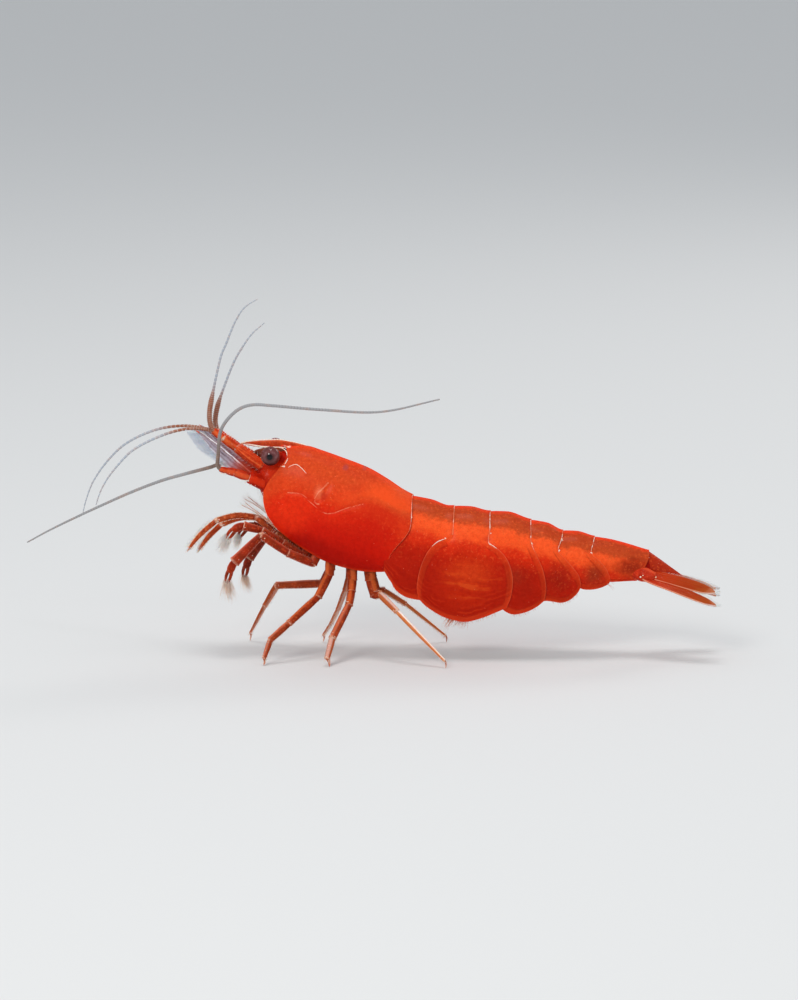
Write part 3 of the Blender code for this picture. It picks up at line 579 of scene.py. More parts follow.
def makeHood():
    def lift(x, z, tau, toFront, toRear, toLower):
        rim = min(toFront, toRear, toLower)
        orbit = bell(toFront, 0.09) * fade(z, 11.2, 11.5)
        groove, fold, flap = (nearLine(x, z, line) for line in (hoodGroove, hood["fold"], hoodFlap))
        dent, keel = nearLine(x, z, hood["dent"]), nearLine(x, z, hood["keel"])
        raised = 0.02 + hood["bead"] * bell(rim, 0.06) * fade(z, 9.5, 11.0)
        raised += 0.06 * orbit + 0.04 * bell(toRear, 0.5)
        raised += 0.015 * bell(fold, 0.1) + 0.04 * bell(keel, 0.07) - 0.05 * bell(dent, 0.16)
        raised += 0.035 * bell(flap, 0.07)
        raised -= hood["grooveDepth"] * bell(groove, 0.1) * fade(8.2 - x, 0, 1.2)
        shown = min(toFront + 0.3, toRear + 0.02 * fade(9.0, z, z + 1.0), toLower + 0.02)
        return raised, {"rim": shown, "run": z - hoodArc(x), "pale": min(groove, abs(flap - 0.02), keel)}

    sheet = shellPlate(head, hood["front"], hood["rear"], hood["lower"], hood["columns"], hood["rows"], lift)
    thicken(sheet, hood["wall"])
    addPiece("carapaceShell", sheet, hoodRed, "shell", ["carapace"])
    # painted highlights as pale beaded lines: the rim behind each eye, a fold, a keel, a lip
    rims = newSheet()
    for _, side in bothSides:
        for line, (size, height) in hood["rims"].items():
            radii = [size * (1 + 0.8 * abs(math.sin(k * 0.62))) * math.sin(math.pi * (k + 1) / 62) ** 0.4
                     for k in range(60)]
            path = head.beadLine(hood[line], 60, side, height)
            sweepTube(rims, path, radii, 8, rim=0.9, pale=1.0, down=1.0)
        spine = head.beside(*hood["spine"], side, 0.02)      # and a short spine below the eye
        addTooth(rims, spine, (-0.95, side * 0.12, 0.1), 0.24, hood["spineWidth"], 0.9, 10)
        addBead(rims, spine, hood["spineWidth"], rim=0.9)
    addSolid("orbitRims", rims, highlightWhite, "shell")
    print("carapace shell made")


# where one plate ends and the next begins, from the back down
jointLines = [
    hood["rear"],
    [
        (12.37, 9.02), (12.36, 8.1), (12.27, 7.33), (11.72, 7.13), (11.37, 6.83), (11.02, 6.3), (10.72, 5.51),
        (10.53, 4.47), (10.62, 3.72)],
    [
        (14.81, 8.71), (14.84, 7.9), (14.8, 7.05), (15.46, 6.62), (15.89, 6.08), (16.13, 5.42), (16.2, 4.81),
        (16.1, 3.95), (15.83, 3.2)],
    [
        (17.21, 8.22), (17.25, 7.6), (17.28, 7.06), (17.61, 6.33), (17.94, 5.58), (18.12, 4.85), (18.15, 4.2),
        (18.04, 3.62)],
    [(19.12, 7.59), (19.06, 7.2), (18.86, 6.58), (19.3, 6.1), (19.73, 5.62), (20.09, 5.09), (20.21, 4.5)],
    [(21.0, 7.23), (20.93, 7.0), (20.82, 6.41), (21.25, 6.02), (21.62, 5.59), (21.85, 5.12), (21.93, 4.82)],
    [(24.2, 6.42), (24.19, 6.08), (24.0, 5.62), (23.62, 5.16), (23.5, 4.72)]]
# the low edge of each ring's side plates, front to back
lowerEdges = [
    [(9.02, 4.72), (9.31, 4.16), (9.85, 3.77), (10.35, 3.64)],
    [(11.07, 3.2), (11.97, 2.64), (12.87, 2.36), (13.47, 2.31), (14.38, 2.56), (15.4, 3.0)],
    [(15.96, 2.92), (16.3, 2.75), (17.0, 2.92), (17.62, 3.25)],
    [(18.42, 3.58), (19.0, 3.46), (19.53, 3.61), (20.0, 4.05)], [(20.56, 4.25), (21.26, 4.3), (21.79, 4.52)],
    [(22.1, 4.67), (22.84, 4.66), (23.3, 4.7)]]
# covered is added to the distance from a margin that is out of sight
rings = {
    "wall": 0.045, "tuck": 0.32, "sink": 0.09, "flare": 0.02, "bead": 0.016, "columns": 52, "rows": 110,
    "hinge": 0.27, "covered": 9}


def ringLift(number):
    # a margin that is covered sinks under its neighbour; the second ring's side plates cover both neighbours
    def lift(x, z, tau, toFront, toRear, toLower):
        side = fade(tau, rings["hinge"] - 0.02, rings["hinge"] + 0.04)
        underFront = 1 - side if number == 2 else 1.0
        underRear = side if number == 1 else 0.0
        front, rear = toFront + rings["covered"] * underFront, toRear + rings["covered"] * underRear
        rim = min(front, rear, toLower)
        raised = 0.015 + rings["bead"] * bell(rim, 0.05)
        raised += rings["flare"] * (bell(rear, 0.35) + bell(front, 0.35))
        sink = rings["sink"] * (0.5 if number == 1 else 1.0)
        raised -= sink * underFront * bell(toFront, 0.3) + rings["sink"] * underRear * bell(toRear, 0.3)
        return raised, {"rim": rim + 0.2 * (number == 6), "run": toLower, "pale": 1 - fade(tau, 0.24, 0.36)}
    return lift


def makeRings():
    for number in range(1, 7):
        front, rear, lower = jointLines[number - 1], jointLines[number], lowerEdges[number - 1]
        if number == 1:
            front = [*front[:-1], (8.9, 5.3)]
        sheet = shellPlate(abdomen, front, rear, [front[-1], *lower, rear[-1]], rings["columns"],
                           rings["rows"], ringLift(number), -rings["tuck"] if number != 2 else 0.0,
                           rings["tuck"] if number == 1 else 0.0)
        thicken(sheet, rings["wall"])
        addPiece(f"abdomenRing{number}", sheet, ringRed, "shell", [f"abdomen_segment_{number}"])
    print("abdomen rings made")


jointSkin = {
    "start": 9.95, "end": 23.4, "reach": 1.85, "lift": -0.105, "thick": 0.03, "columns": 100, "rows": 56}


def makeJointSkin():
    # the soft skin that joins the rings, seen only between their margins
    sheet = newSheet()
    bmesh.ops.create_grid(sheet, x_segments=jointSkin["columns"], y_segments=jointSkin["rows"], size=1)
    for vert in sheet.verts:
        x = jointSkin["start"] + (jointSkin["end"] - jointSkin["start"]) * (vert.co.x + 1) / 2
        vert.co = abdomen.at(x, vert.co.y * jointSkin["reach"], jointSkin["lift"])
        mark(sheet, [vert], down=0.7)
    turnUp(sheet)
    thicken(sheet, jointSkin["thick"])
    addPiece("jointSkin", sheet, fleshRed, "limbs")
    print("joint skin made")


# the hinges' places and arcs of painted highlight in side view; those before firstRing are on the carapace
hinges = {
    "places": [
        (12.24, 7.36), (14.84, 7.02), (14.86, 7.62), (17.27, 7.02), (18.9, 6.56), (19.06, 7.16), (20.8, 6.44),
        (20.93, 6.98), (24.16, 6.12), (10.18, 8.55)],
    "arcs": [
        [(11.42, 6.88), (11.72, 7.13), (12.0, 7.25), (12.27, 7.33)],
        [(14.8, 7.05), (15.02, 6.92), (15.26, 6.76)]], "knob": 0.055, "firstRing": 11}


def makeHinges():
    # small knobs on which the rings turn, painted white as highlights
    sheet = newSheet()
    for x, z in hinges["places"]:
        for _, side in bothSides:
            form = head if x < hinges["firstRing"] else abdomen
            place = form.beside(x, z, side, 0.02)
            for _ in range(3):                   # each is a small cluster of beads
                shift = Vector((random.uniform(-1, 1), 0, random.uniform(-1, 1))) * hinges["knob"]
                addBead(sheet, place + shift, hinges["knob"] * random.uniform(0.4, 0.9))
    for line in hinges["arcs"]:                  # painted highlights: short white stretches of margin beside them
        for _, side in bothSides:
            path = abdomen.beadLine(line, 24, side, 0.05)
            sweepTube(sheet, path, spindle(24, 0.006, 0.016), 8, rim=1.0, pale=1.0, down=1.0)
    addSolid("shellHinges", sheet, paleRod, "shell")
    print("hinges made")


def pointsAlong(frames, count, skip=0.0):        # evenly picked frames, without the ends
    last = len(frames) - 1
    return [frames[round(last * (skip + (1 - 2 * skip) * (i + 0.5) / count))] for i in range(count)]


class Coat:
    # bristles copied from one small cone and joined as one mesh
    def __init__(self, name, sides=3, rings=3):
        self.name, self.rows = name, []
        cone = bmesh.new()
        bmesh.ops.create_cone(cone, cap_ends=True, segments=sides, radius1=1, radius2=0.15, depth=1,
                              matrix=Matrix.Translation((0, 0, 0.5)))
        for k in range(1, rings):
            bmesh.ops.bisect_plane(cone, geom=cone.verts[:] + cone.edges[:] + cone.faces[:],
                                   plane_co=(0, 0, k / rings), plane_no=(0, 0, 1))
        cone.verts.index_update()
        self.points = np.array([v.co for v in cone.verts])
        self.faces = [[v.index for v in f.verts] for f in cone.faces]
        cone.free()

    def add(self, root, direction, length, width, bend=(0, 0, 0), spot=(0.5, 0.5)):
        self.rows.append((*root, *direction, *bend, length, width, *spot))

    def plume(self, root, direction, length, width, spread, spot, barbs):
        # a straight bristle with a row of fine hairs down both sides
        self.add(root, direction, length, width, spot=spot)
        ahead, across = Vector(direction).normalized(), Vector(spread).normalized()
        for k in range(barbs):
            start = Vector(root) + ahead * length * (0.15 + 0.8 * (k + 0.5) / barbs)
            for hand in (-1, 1):
                self.add(start, ahead * 0.75 + across * hand, length * 0.16, width * 0.45, spot=spot)

    def build(self, finish, slot):
        rows = np.array(self.rows, float)
        roots, ahead, bend = rows[:, 0:3], rows[:, 3:6], rows[:, 6:9]
        length, width, spots = rows[:, 9, None], rows[:, 10, None], rows[:, 11:13]
        ahead = ahead / np.linalg.norm(ahead, axis=1)[:, None]
        helper = np.where(np.abs(ahead[:, 2:3]) > 0.9, [[1.0, 0, 0]], [[0, 0, 1.0]])
        across = np.cross(ahead, helper)
        across /= np.linalg.norm(across, axis=1)[:, None]
        third = np.cross(ahead, across)
        u, v, w = (self.points[None, :, k, None] for k in range(3))
        places = (roots[:, None] + ahead[:, None] * w * length[:, None] + bend[:, None] * w ** 2
                  + (across[:, None] * u + third[:, None] * v) * width[:, None])
        count = len(self.points)
        faces = [[i * count + k for k in face] for i in range(len(rows)) for face in self.faces]
        mesh = bpy.data.meshes.new(self.name)
        mesh.from_pydata((places.reshape(-1, 3) * mm + np.array(noseTip)).tolist(), [], faces)
        patch = np.stack([self.points[:, 0] * 0.5 + 0.5, self.points[:, 2]], axis=1) * 0.003
        flat = (spots[:, None] * 0.99 + patch[None]).reshape(-1, 2)
        corner = np.zeros(len(mesh.loops), dtype=np.int32)
        mesh.loops.foreach_get("vertex_index", corner)
        mesh.uv_layers.new(name="OFBake").data.foreach_set("uv", flat[corner].ravel())
        placeMesh(mesh, finish, slot)
        print(self.name, "has", len(rows), "bristles and", len(mesh.polygons), "faces")


def mapPlace(x):
    # where on its coat's map a hair that starts at x takes its tone
    return 0.05 + 0.9 * (x % 1)


def bristleRow(coat, frames, radius, lean, length, width, turns, band, bendBy=0.25, every=1, jitter=0.25):
    # short bristles round a limb; turns are angles from its up direction, band its row on the coat's map
    for i, (point, ahead, lift, across) in enumerate(frames[::every]):
        t = i / max(len(frames[::every]) - 1, 1)
        for turn in turns:
            angle = turn + random.uniform(-jitter, jitter)
            out = lift * math.cos(angle) + across * math.sin(angle)
            size = length * random.uniform(0.75, 1.2)
            start = point + out * radius * 0.92
            coat.add(start, out + ahead * lean, size, width, ahead * size * bendBy, (0.04 + 0.9 * t, band))


def softRed(name, middle, dark, light, sss=0.2): # flesh and limbs: cloudy red with pale joints
    paint = Finish(name, coat=0.06, coatRough=0.12, sss=sss, sssScale=0.2 * mm, sssRadius=(1.0, 0.25, 0.1),
                   specular=0.02)
    joint, pale = paint.attribute("rim"), paint.attribute("pale")
    run, edge = paint.attribute("run"), paint.attribute("down")
    paint.base = paint.mix(paint.cloud(0.35, 0.68, 3.0, 4.0), dark, middle)
    paint.lay(paint.cloud(0.55, 0.72, 7.0, 3.0) * 0.5, light)
    # painted sheen: the upper and lower edges of a limb lighter than its middle
    paint.lay(paint.between(edge, 0.72, 0.98) * 0.55, light)
    # pale lengths keep their own pale orange in the middle; the near white at their upper and lower edges is
    # painted sheen
    glassSheen = paint.mix(paint.between(edge, 0.55, 0.86), (0.66, 0.2, 0.06), (1.0, 0.92, 0.82))
    paint.lay(pale * (0.75 + paint.noise(5.0) * 0.4), glassSheen)
    paint.lay(joint * (0.35 + paint.cloud(0.4, 0.6, 9.0) * 0.65), (1.0, 0.66, 0.48))
    specks = 1 - paint.between(paint.cells(9.0), 0.06, 0.16)
    paint.lay(specks * 0.45, (0.95, 0.45, 0.28))
    paint.lay(run * 0.15, light)
    paint.join(0.3 + paint.noise(8.0) * 0.2)
    paint.bump(paint.noise(14.0, 3.0), 0.01)
    return paint


def makeCores():
    # the flesh inside the shell, seen at the face and from below
    for name, form, powers, nodes in (("headFlesh", cores["head"], (0.78, 0.55), ["face", "thorax"]),
                                      ("abdomenFlesh", cores["abdomen"], (0.9, 0.6), [])):
        body = BodyForm(form, powers)
        start, end = form[0][0], form[-1][0]
        sheet = newSheet()
        bmesh.ops.create_uvsphere(sheet, u_segments=48, v_segments=90, radius=1)
        for vert in sheet.verts:
            along = math.acos(min(max(vert.co.z, -1), 1)) / math.pi
            x = start + (end - start) * eased(along, 0.5)
            closing = math.sqrt(max(1 - (1 - min(min(x - start, end - x) / 0.6, 1)) ** 2, 0))
            angle = math.atan2(vert.co.y, vert.co.x)
            skin = body.onSkin(x, angle)
            middle, _ = body.levels(x)
            ridge = 0.0
            # ridges across the belly, one for each ring
            if name == "abdomenFlesh" and math.cos(angle) < -0.2:
                ridge = 0.07 * math.sin(x * 2.9) ** 2
            vert.co = Vector((x, skin.y * closing, middle + (skin.z - middle - ridge) * closing))
            mark(sheet, [vert], down=0.7 + 0.3 * bell(math.hypot(x - 2.0, vert.co.z - 11.1), 0.7))
        if sheet.calc_volume(signed=True) < 0:
            bmesh.ops.reverse_faces(sheet, faces=sheet.faces)
        addPiece(name, sheet, fleshRed, "limbs", nodes)
    brow = newSheet()                            # the flesh between the eyes, below the rostrum, painted dark as the shade in the gap there
    sweepTube(brow, smoothPath(cores["brow"], 20), cores["browRadii"](np.linspace(0, 1, 20)), 24)
    addSolid("browFlesh", brow, browShade, "limbs")
    print("flesh made")


cores = {
    "brow": [(0.5, 0, 11.78), (0.9, 0, 11.93), (1.5, 0, 12.02), (2.6, 0, 11.96)],
    "browRadii": lambda ts: np.interp(ts, [0, 0.06, 0.25, 0.6, 1], [0.1, 0.22, 0.34, 0.4, 0.42]),
    "head": [
        (0.86, 11.1, 10.34, 0.54), (1.02, 11.3, 10.02, 0.92), (1.4, 11.6, 9.35, 1.12),
        (1.8, 11.84, 8.3, 1.23), (2.1, 12.05, 7.88, 1.33), (2.45, 12.26, 7.5, 1.43), (3.0, 12.36, 7.04, 1.54),
        (4.0, 12.25, 6.38, 1.68), (5.0, 11.95, 5.98, 1.77), (6.2, 11.5, 5.66, 1.86), (8.0, 10.8, 5.55, 1.89),
        (9.4, 9.8, 5.7, 1.82), (10.6, 9.25, 5.7, 1.6)],
    "abdomen": [
        (9.6, 9.3, 5.6, 1.35), (12.37, 8.66, 5.35, 1.42), (14.81, 8.34, 5.22, 1.38),
        (17.21, 7.86, 5.15, 1.22), (19.12, 7.24, 5.05, 1.02), (21.0, 6.88, 4.98, 0.88),
        (22.4, 6.66, 4.8, 0.82), (23.4, 6.48, 4.76, 0.74), (24.15, 6.28, 4.76, 0.66),
        (24.62, 6.1, 4.86, 0.5)]}


# the rostrum: side view (x, z) of its top and underside
nose = {
    "top": [
        (0.0, 12.655), (0.36, 12.77), (1.25, 12.86), (2.2, 12.89), (2.91, 12.79), (3.56, 12.64),
        (4.3, 12.42)],
    "under": [(0.0, 12.635), (0.45, 12.53), (1.28, 12.43), (2.42, 12.41), (3.2, 12.3), (4.3, 12.15)],
    "thick": [(0.0, 0.012), (0.5, 0.05), (1.4, 0.09), (2.6, 0.13), (4.3, 0.18)],
    "keel": [(0.1, 12.6), (0.4, 12.6), (0.85, 12.53), (1.35, 12.46), (2.0, 12.44), (2.6, 12.46)],
    "teethAbove": 24, "teethBelow": 5, "tooth": 0.15, "bead": 0.034, "beads": 40, "end": 4.3}


def makeNose():
    top, under, thick = (levelLine(nose[key]) for key in ("top", "under", "thick"))
    xs = np.linspace(0.0, nose["end"], 60)
    path = [(x, 0.0, (top(x) + under(x)) / 2) for x in xs]
    sheet = newSheet()
    sweepTube(sheet, path, [(thick(x), (top(x) - under(x)) / 2) for x in xs], 16)
    # a pale beaded crest along the top edge: painted highlight
    crest = [(x, 0, top(x) - 0.02) for x in np.linspace(0.03, 3.9, 50)]
    ripple = [(0.04 + 0.012 * (k % 2), 0.034 + 0.012 * (k % 2)) for k in range(50)]
    sweepTube(sheet, crest, ripple, 8, rim=0.8, pale=1.0, down=1.0)
    for i in range(nose["teethAbove"]):          # forward-leaning teeth, closer together towards the tip
        x = 0.3 + 3.6 * (i / (nose["teethAbove"] - 1)) ** 1.08
        size = nose["tooth"] * (0.75 + 0.3 * bell(x - 1.8, 1.2))
        addTooth(sheet, (x, 0, top(x) - 0.03), (-0.8, 0, 0.62), size, 0.045)
    for i in range(nose["teethBelow"]):
        x = 0.5 + 0.3 * i
        addTooth(sheet, (x, 0, under(x) + 0.02), (-0.85, 0, -0.55), nose["tooth"] * 0.8, 0.035)
    height = levelLine(nose["keel"])
    for side in (-1, 1):                         # the keel along each side, pale as a painted highlight
        keel = [(x, side * thick(x) * 0.95, height(x)) for x in np.linspace(0.1, 2.6, 40)]
        sweepTube(sheet, keel, spindle(40, 0.014, 0.034), 8, rim=0.6, pale=1.0, down=1.0)
    addSolid("rostrumBlade", sheet, noseRed, "shell", ["rostrum"])
    # painted highlights: white beads along the top edge and a white line low on each side
    beads = newSheet()
    for k in range(nose["beads"]):
        x = 0.1 + 0.092 * k
        addBead(beads, (x, 0, top(x) + 0.008), nose["bead"] * random.uniform(0.7, 1.15), rim=0.8, rounds=1)
    for side in (-1, 1):
        keel = [(x, side * (thick(x) * 0.95 + 0.03), height(x)) for x in np.linspace(0.08, 1.32, 30)]
        sweepTube(beads, keel, spindle(30, 0.01, 0.02), 8, rim=0.8, pale=1.0, down=1.0)
    addSolid("rostrumBeads", beads, highlightWhite, "shell")
    print("rostrum made")


def addTooth(sheet, root, direction, length, width, paleness=0.02, sides=8):
    turn = Vector(direction).to_track_quat("Z", "Y").to_matrix().to_4x4()
    stand = Matrix.Translation(Vector(root)) @ turn @ Matrix.Translation((0, 0, length / 2))
    verts = bmesh.ops.create_cone(sheet, cap_ends=True, segments=sides, radius1=width, radius2=width * 0.1,
                                  depth=length, matrix=stand)["verts"]
    mark(sheet, verts, rim=paleness, down=1.0, pale=1.0)


eyes = {
    "radius": 0.57, "centre": {"left": (1.86, -1.5, 12.12), "right": (1.93, 1.5, 12.2)}, "spotHeight": 0.02,
    "stalk": [(2.45, -0.25, 11.92), (2.15, -0.62, 12.0), (1.93, -1.05, 12.08), (1.87, -1.36, 12.11)],
    "stalkRadii": [0.24, 0.33, 0.45, 0.52]}


def makeEyes():
    for name, side in bothSides:
        ball = newSheet()
        bmesh.ops.create_icosphere(ball, subdivisions=5, radius=eyes["radius"])
        bmesh.ops.scale(ball, vec=(1.0, 0.92, 1.0), verts=ball.verts)
        place = Vector(eyes["centre"][name])
        look = Vector((0.0, side, eyes["spotHeight"])).normalized()
        for vert in ball.verts:                  # how squarely each spot faces outwards
            mark(ball, [vert], run=max(vert.co.normalized().dot(look), 0), rim=vert.co.x / eyes["radius"])
        bmesh.ops.translate(ball, vec=place, verts=ball.verts)
        addPiece(f"eyeBall_{name}", ball, eyeBrown, "eyes", [f"eye_{name}"])
        stalk = newSheet()
        path = smoothPath(mirrored(eyes["stalk"], side), 16)
        radii = np.interp(np.linspace(0, 1, 16), np.linspace(0, 1, 4), eyes["stalkRadii"])
        sweepTube(stalk, path, radii, 20, pale=0.0)
        addSolid(f"eyeStalk_{name}", stalk, stalkRed, "limbs", [f"eyestalk_{name}"])
    print("eyes made")


def eyeFinish():
    paint = Finish("eyeBrown", rough=0.3, coat=0.6, coatRough=0.03, specular=0.0)
    facing = paint.attribute("run")
    paint.base = paint.ramp(facing, 0.0, 1.0, [
        (0.0, (0.13, 0.018, 0.014)), (0.45, (0.12, 0.026, 0.023)), (0.8, (0.16, 0.046, 0.044)),
        (0.93, (0.08, 0.02, 0.02)), (0.96, (0.004, 0.002, 0.003)), (1.0, (0.002, 0.001, 0.002))])
    mottle = paint.cloud(0.5, 0.66, 4.5, 3.0) * paint.between(facing, 0.96, 0.93)
    paint.lay(mottle * 0.6, (0.22, 0.095, 0.1))
    paint.lay((1 - paint.between(facing, 0.0, 0.3)) * 0.6, (0.28, 0.04, 0.03))
    shade = paint.between(paint.axis(2), 0.012, 0.0116) * paint.between(facing, 0.95, 0.9)
    paint.lay(shade * 0.85, (0.02, 0.005, 0.006))
    paint.join()
    paint.bump(paint.cells(26.0), 0.008, 0.6)
    return paint


# how far along a stiff length of a limb, and its radius there: it swells and ends in a raised collar
articleShape = [
    (0.0, 0.25), (0.012, 0.7), (0.04, 0.86), (0.1, 0.9), (0.22, 0.95), (0.38, 1.0), (0.55, 1.0), (0.72, 0.98),
    (0.86, 0.98), (0.93, 1.0), (0.965, 1.07), (0.985, 1.07), (1.0, 0.86), (1.008, 0.35)]


def article(sheet, start, end, wide, narrow, pale=0.0, flat=1.0, joint=0.7):
    path = [start.lerp(end, t) for t, _ in articleShape]
    radii = [(wide * (1 - t) + narrow * t) * k for t, k in articleShape]
    glow = [max(bell(t, 0.03), bell(1 - t, 0.035)) * joint for t, _ in articleShape]
    sweepTube(sheet, path, radii, 14, flat, rim=glow, pale=pale, run=[min(t, 1) for t, _ in articleShape])


def glints(sheet, frames, radius, count, size, turns=(0.0, math.pi)):
    # small pale knobs along a limb's edges, painted glints
    for _ in range(count):
        point, _, lift, across = random.choice(frames)
        angle = random.choice(turns) + random.gauss(0, 0.25)
        out = lift * math.cos(angle) + across * math.sin(angle)
        addBead(sheet, point + out * radius * 0.95, size * random.uniform(0.7, 1.3), rounds=1)


def bentArticle(sheet, points, radii, sides=14, pale=0.0, flat=1.0, count=26, up=(0, 0, 1), collar=0.12,
                joint=0.9):
    # the same for a curved length
    path = smoothPath(points, count)
    ts = np.linspace(0, 1, count)
    base = np.interp(ts, np.linspace(0, 1, len(radii)), radii)
    ends = [0.35 if k in (0, count - 1) else 1 + collar * bell(1 - t, 0.05) - 0.12 * bell(t, 0.06)
            for k, t in enumerate(ts)]
    return sweepTube(sheet, path, base * ends, sides, flat, up, pale=pale, run=ts,
                     rim=[max(bell(t, 0.035), bell(1 - t, 0.04)) * joint for t in ts])


def claw(sheet, start, end, width, bow, pale=0.3):         # a limb's pointed end
    side = (end - start).cross(Vector((0, 1, 0))).normalized()
    ts = np.linspace(0, 1, 14)
    path = [start.lerp(end, t) + side * bow * math.sin(math.pi * t) for t in ts]
    radii = [width * (1 - t) ** 0.7 + 0.006 for t in ts]
    sweepTube(sheet, path, radii, 10, pale=pale, run=ts, rim=[0.6 * t for t in ts])


def jointBall(sheet, place, radius):
    # the soft pale skin that shows in a bent joint
    addBead(sheet, place, radius, rim=0.75, pale=0.5, down=0.0)


# joints from the root out; the root's height follows the chest
limbs = {
    "leg_3_left": {
        "joints": [
            (5.36, -0.88, None), (5.3, -0.95, 5.0), (4.68, -1.62, 3.76), (3.03, -2.82, 2.36),
            (1.98, -3.5, 1.48), (1.62, -3.86, 0.44)], "foot": (1.6, -3.9, 0.0),
        "radii": [0.32, 0.27, 0.245, 0.225, 0.2, 0.13], "pale": [0, 0, 0.0, 0.05, 0.1],
        "glow": [0.2, 0.4, 0.6, 0.12, 0.9]},
    "leg_3_right": {
        "joints": [
            (5.3, 0.88, None), (5.24, 0.95, 5.0), (4.78, 1.5, 4.0), (1.9, 2.6, 3.66), (1.13, 3.2, 2.32),
            (0.18, 3.88, 0.5)], "foot": (0.15, 3.92, 0.0), "radii": [0.32, 0.28, 0.3, 0.24, 0.17, 0.08],
        "pale": [0, 0, 0.1, 0.25, 0.3], "glow": [0.2, 0.4, 0.9, 1.0, 0.7]},
    "leg_4_left": {
        "joints": [
            (6.62, -0.88, None), (6.66, -1.0, 4.7), (6.64, -1.4, 4.1), (6.52, -1.95, 3.35),
            (5.62, -3.35, 1.58), (5.36, -4.04, 0.5)], "foot": (5.5, -4.15, 0.0),
        "radii": [0.34, 0.29, 0.25, 0.24, 0.23, 0.17], "pale": [0, 0, 0.0, 0.05, 0.35],
        "glow": [0.2, 0.3, 0.3, 0.9, 1.0]},
    "leg_4_right": {
        "joints": [
            (6.45, 0.88, None), (6.36, 1.0, 4.5), (6.1, 1.48, 3.66), (5.6, 2.32, 2.3), (5.14, 3.0, 1.3),
            (4.62, 3.78, 0.45)], "foot": (4.59, 3.82, 0.0), "radii": [0.28, 0.22, 0.18, 0.15, 0.13, 0.09],
        "pale": [0.1, 0.2, 0.4, 0.5, 0.5], "glow": [0.2, 0.3, 0.4, 0.4, 0.4]},
    "leg_5_left": {
        "joints": [
            (7.66, -0.88, None), (7.74, -1.0, 4.72), (8.02, -1.48, 3.86), (8.34, -1.7, 3.94),
            (9.38, -2.52, 3.08), (12.28, -4.14, 0.44)], "foot": (12.34, -4.18, 0.0),
        "radii": [0.36, 0.34, 0.3, 0.25, 0.19, 0.09], "pale": [0, 0, 0.0, 0.55, 1.0],
        "glow": [0.2, 0.2, 0.4, 1.0, 0.8]},
    "leg_5_right": {
        "joints": [
            (7.6, 0.88, None), (7.7, 1.0, 4.6), (7.96, 1.5, 3.6), (8.34, 1.8, 3.58), (9.6, 2.62, 2.62),
            (11.98, 4.04, 0.42)], "foot": (12.02, 4.08, 0.0), "radii": [0.32, 0.28, 0.24, 0.2, 0.17, 0.08],
        "pale": [0, 0.1, 0.3, 0.6, 0.9], "glow": [0.2, 0.3, 0.4, 0.6, 0.6]}}


def rooted(joints):
    x, y, _ = joints[0]
    return [Vector((x, y, chestEdge(x) + 0.16)), *(Vector(joint) for joint in joints[1:])]


def makeWalkingLegs():
    for band, (name, leg) in enumerate(limbs.items()):
        joints, radii = rooted(leg["joints"]), leg["radii"]
        sheet = newSheet()
        for i, (a, b) in enumerate(zip(joints, joints[1:])):
            ahead = (b - a).normalized()
            article(sheet, a - ahead * radii[i] * 0.35, b + ahead * radii[i + 1] * 0.3, radii[i],
                    radii[i + 1], pale=leg["pale"][i], joint=leg["glow"][i], flat=1.0 if i < 2 else 0.92)
            if i:
                jointBall(sheet, a, radii[i] * 0.86)
            if i >= 2:
                mean = (radii[i] + radii[i + 1]) / 2
                edges = framesAlong([a.lerp(b, t) for t in np.linspace(0.03, 0.97, 24)])
                glints(sheet, edges, mean, int(14 * leg["glow"][i]), 0.02)
                glints(sheet, edges[-2:], radii[i + 1], int(8 * leg["glow"][i]), 0.03, (0.0, 1.6, 3.1, 4.7))
                row = framesAlong([a.lerp(b, t) for t in np.linspace(0.08, 0.96, 16)])
                bristleRow(legHairs, row, mean, 0.7, 0.12, 0.009, (2.6, -2.2, 0.6), 0.05 + band * 0.07)
            if i >= 3:                           # spines along the underside of the long last lengths
                for t in np.linspace(0.12, 0.92, 9):
                    out = Vector((0, 0, -1)) - ahead * Vector((0, 0, -1)).dot(ahead)
                    root = a.lerp(b, t) + out.normalized() * mean * 0.85
                    addTooth(sheet, root, out.normalized() * 0.8 + ahead, 0.11, 0.022, 0.8, 6)
        tip, last = Vector(leg["foot"]), joints[-1]
        start = last - (tip - last).normalized() * 0.05
        claw(sheet, start, tip + Vector((0, 0, 0.006)), radii[-1] * 0.72, 0.05)
        lean = 0.1 if tip.x > last.x else -0.1
        addTooth(sheet, last.lerp(tip, 0.55), (lean, 0, -0.25), 0.14, 0.022, 0.8, 6)
        for end in (joints[-2], joints[-1]):     # pale bristles fan out at the last joints
            for _ in range(9):
                turn = random.uniform(0, 2 * math.pi)
                out = Vector((math.cos(turn), math.sin(turn), -0.6))
                legHairs.add(end + out * radii[-1] * 0.8, out, random.uniform(0.1, 0.2), 0.01, (0, 0, -0.05),
                             (0.95, 0.05 + band * 0.07))
        addSolid(name + "_limb", sheet, limbRed, "limbs", [name])
    print("walking legs made")


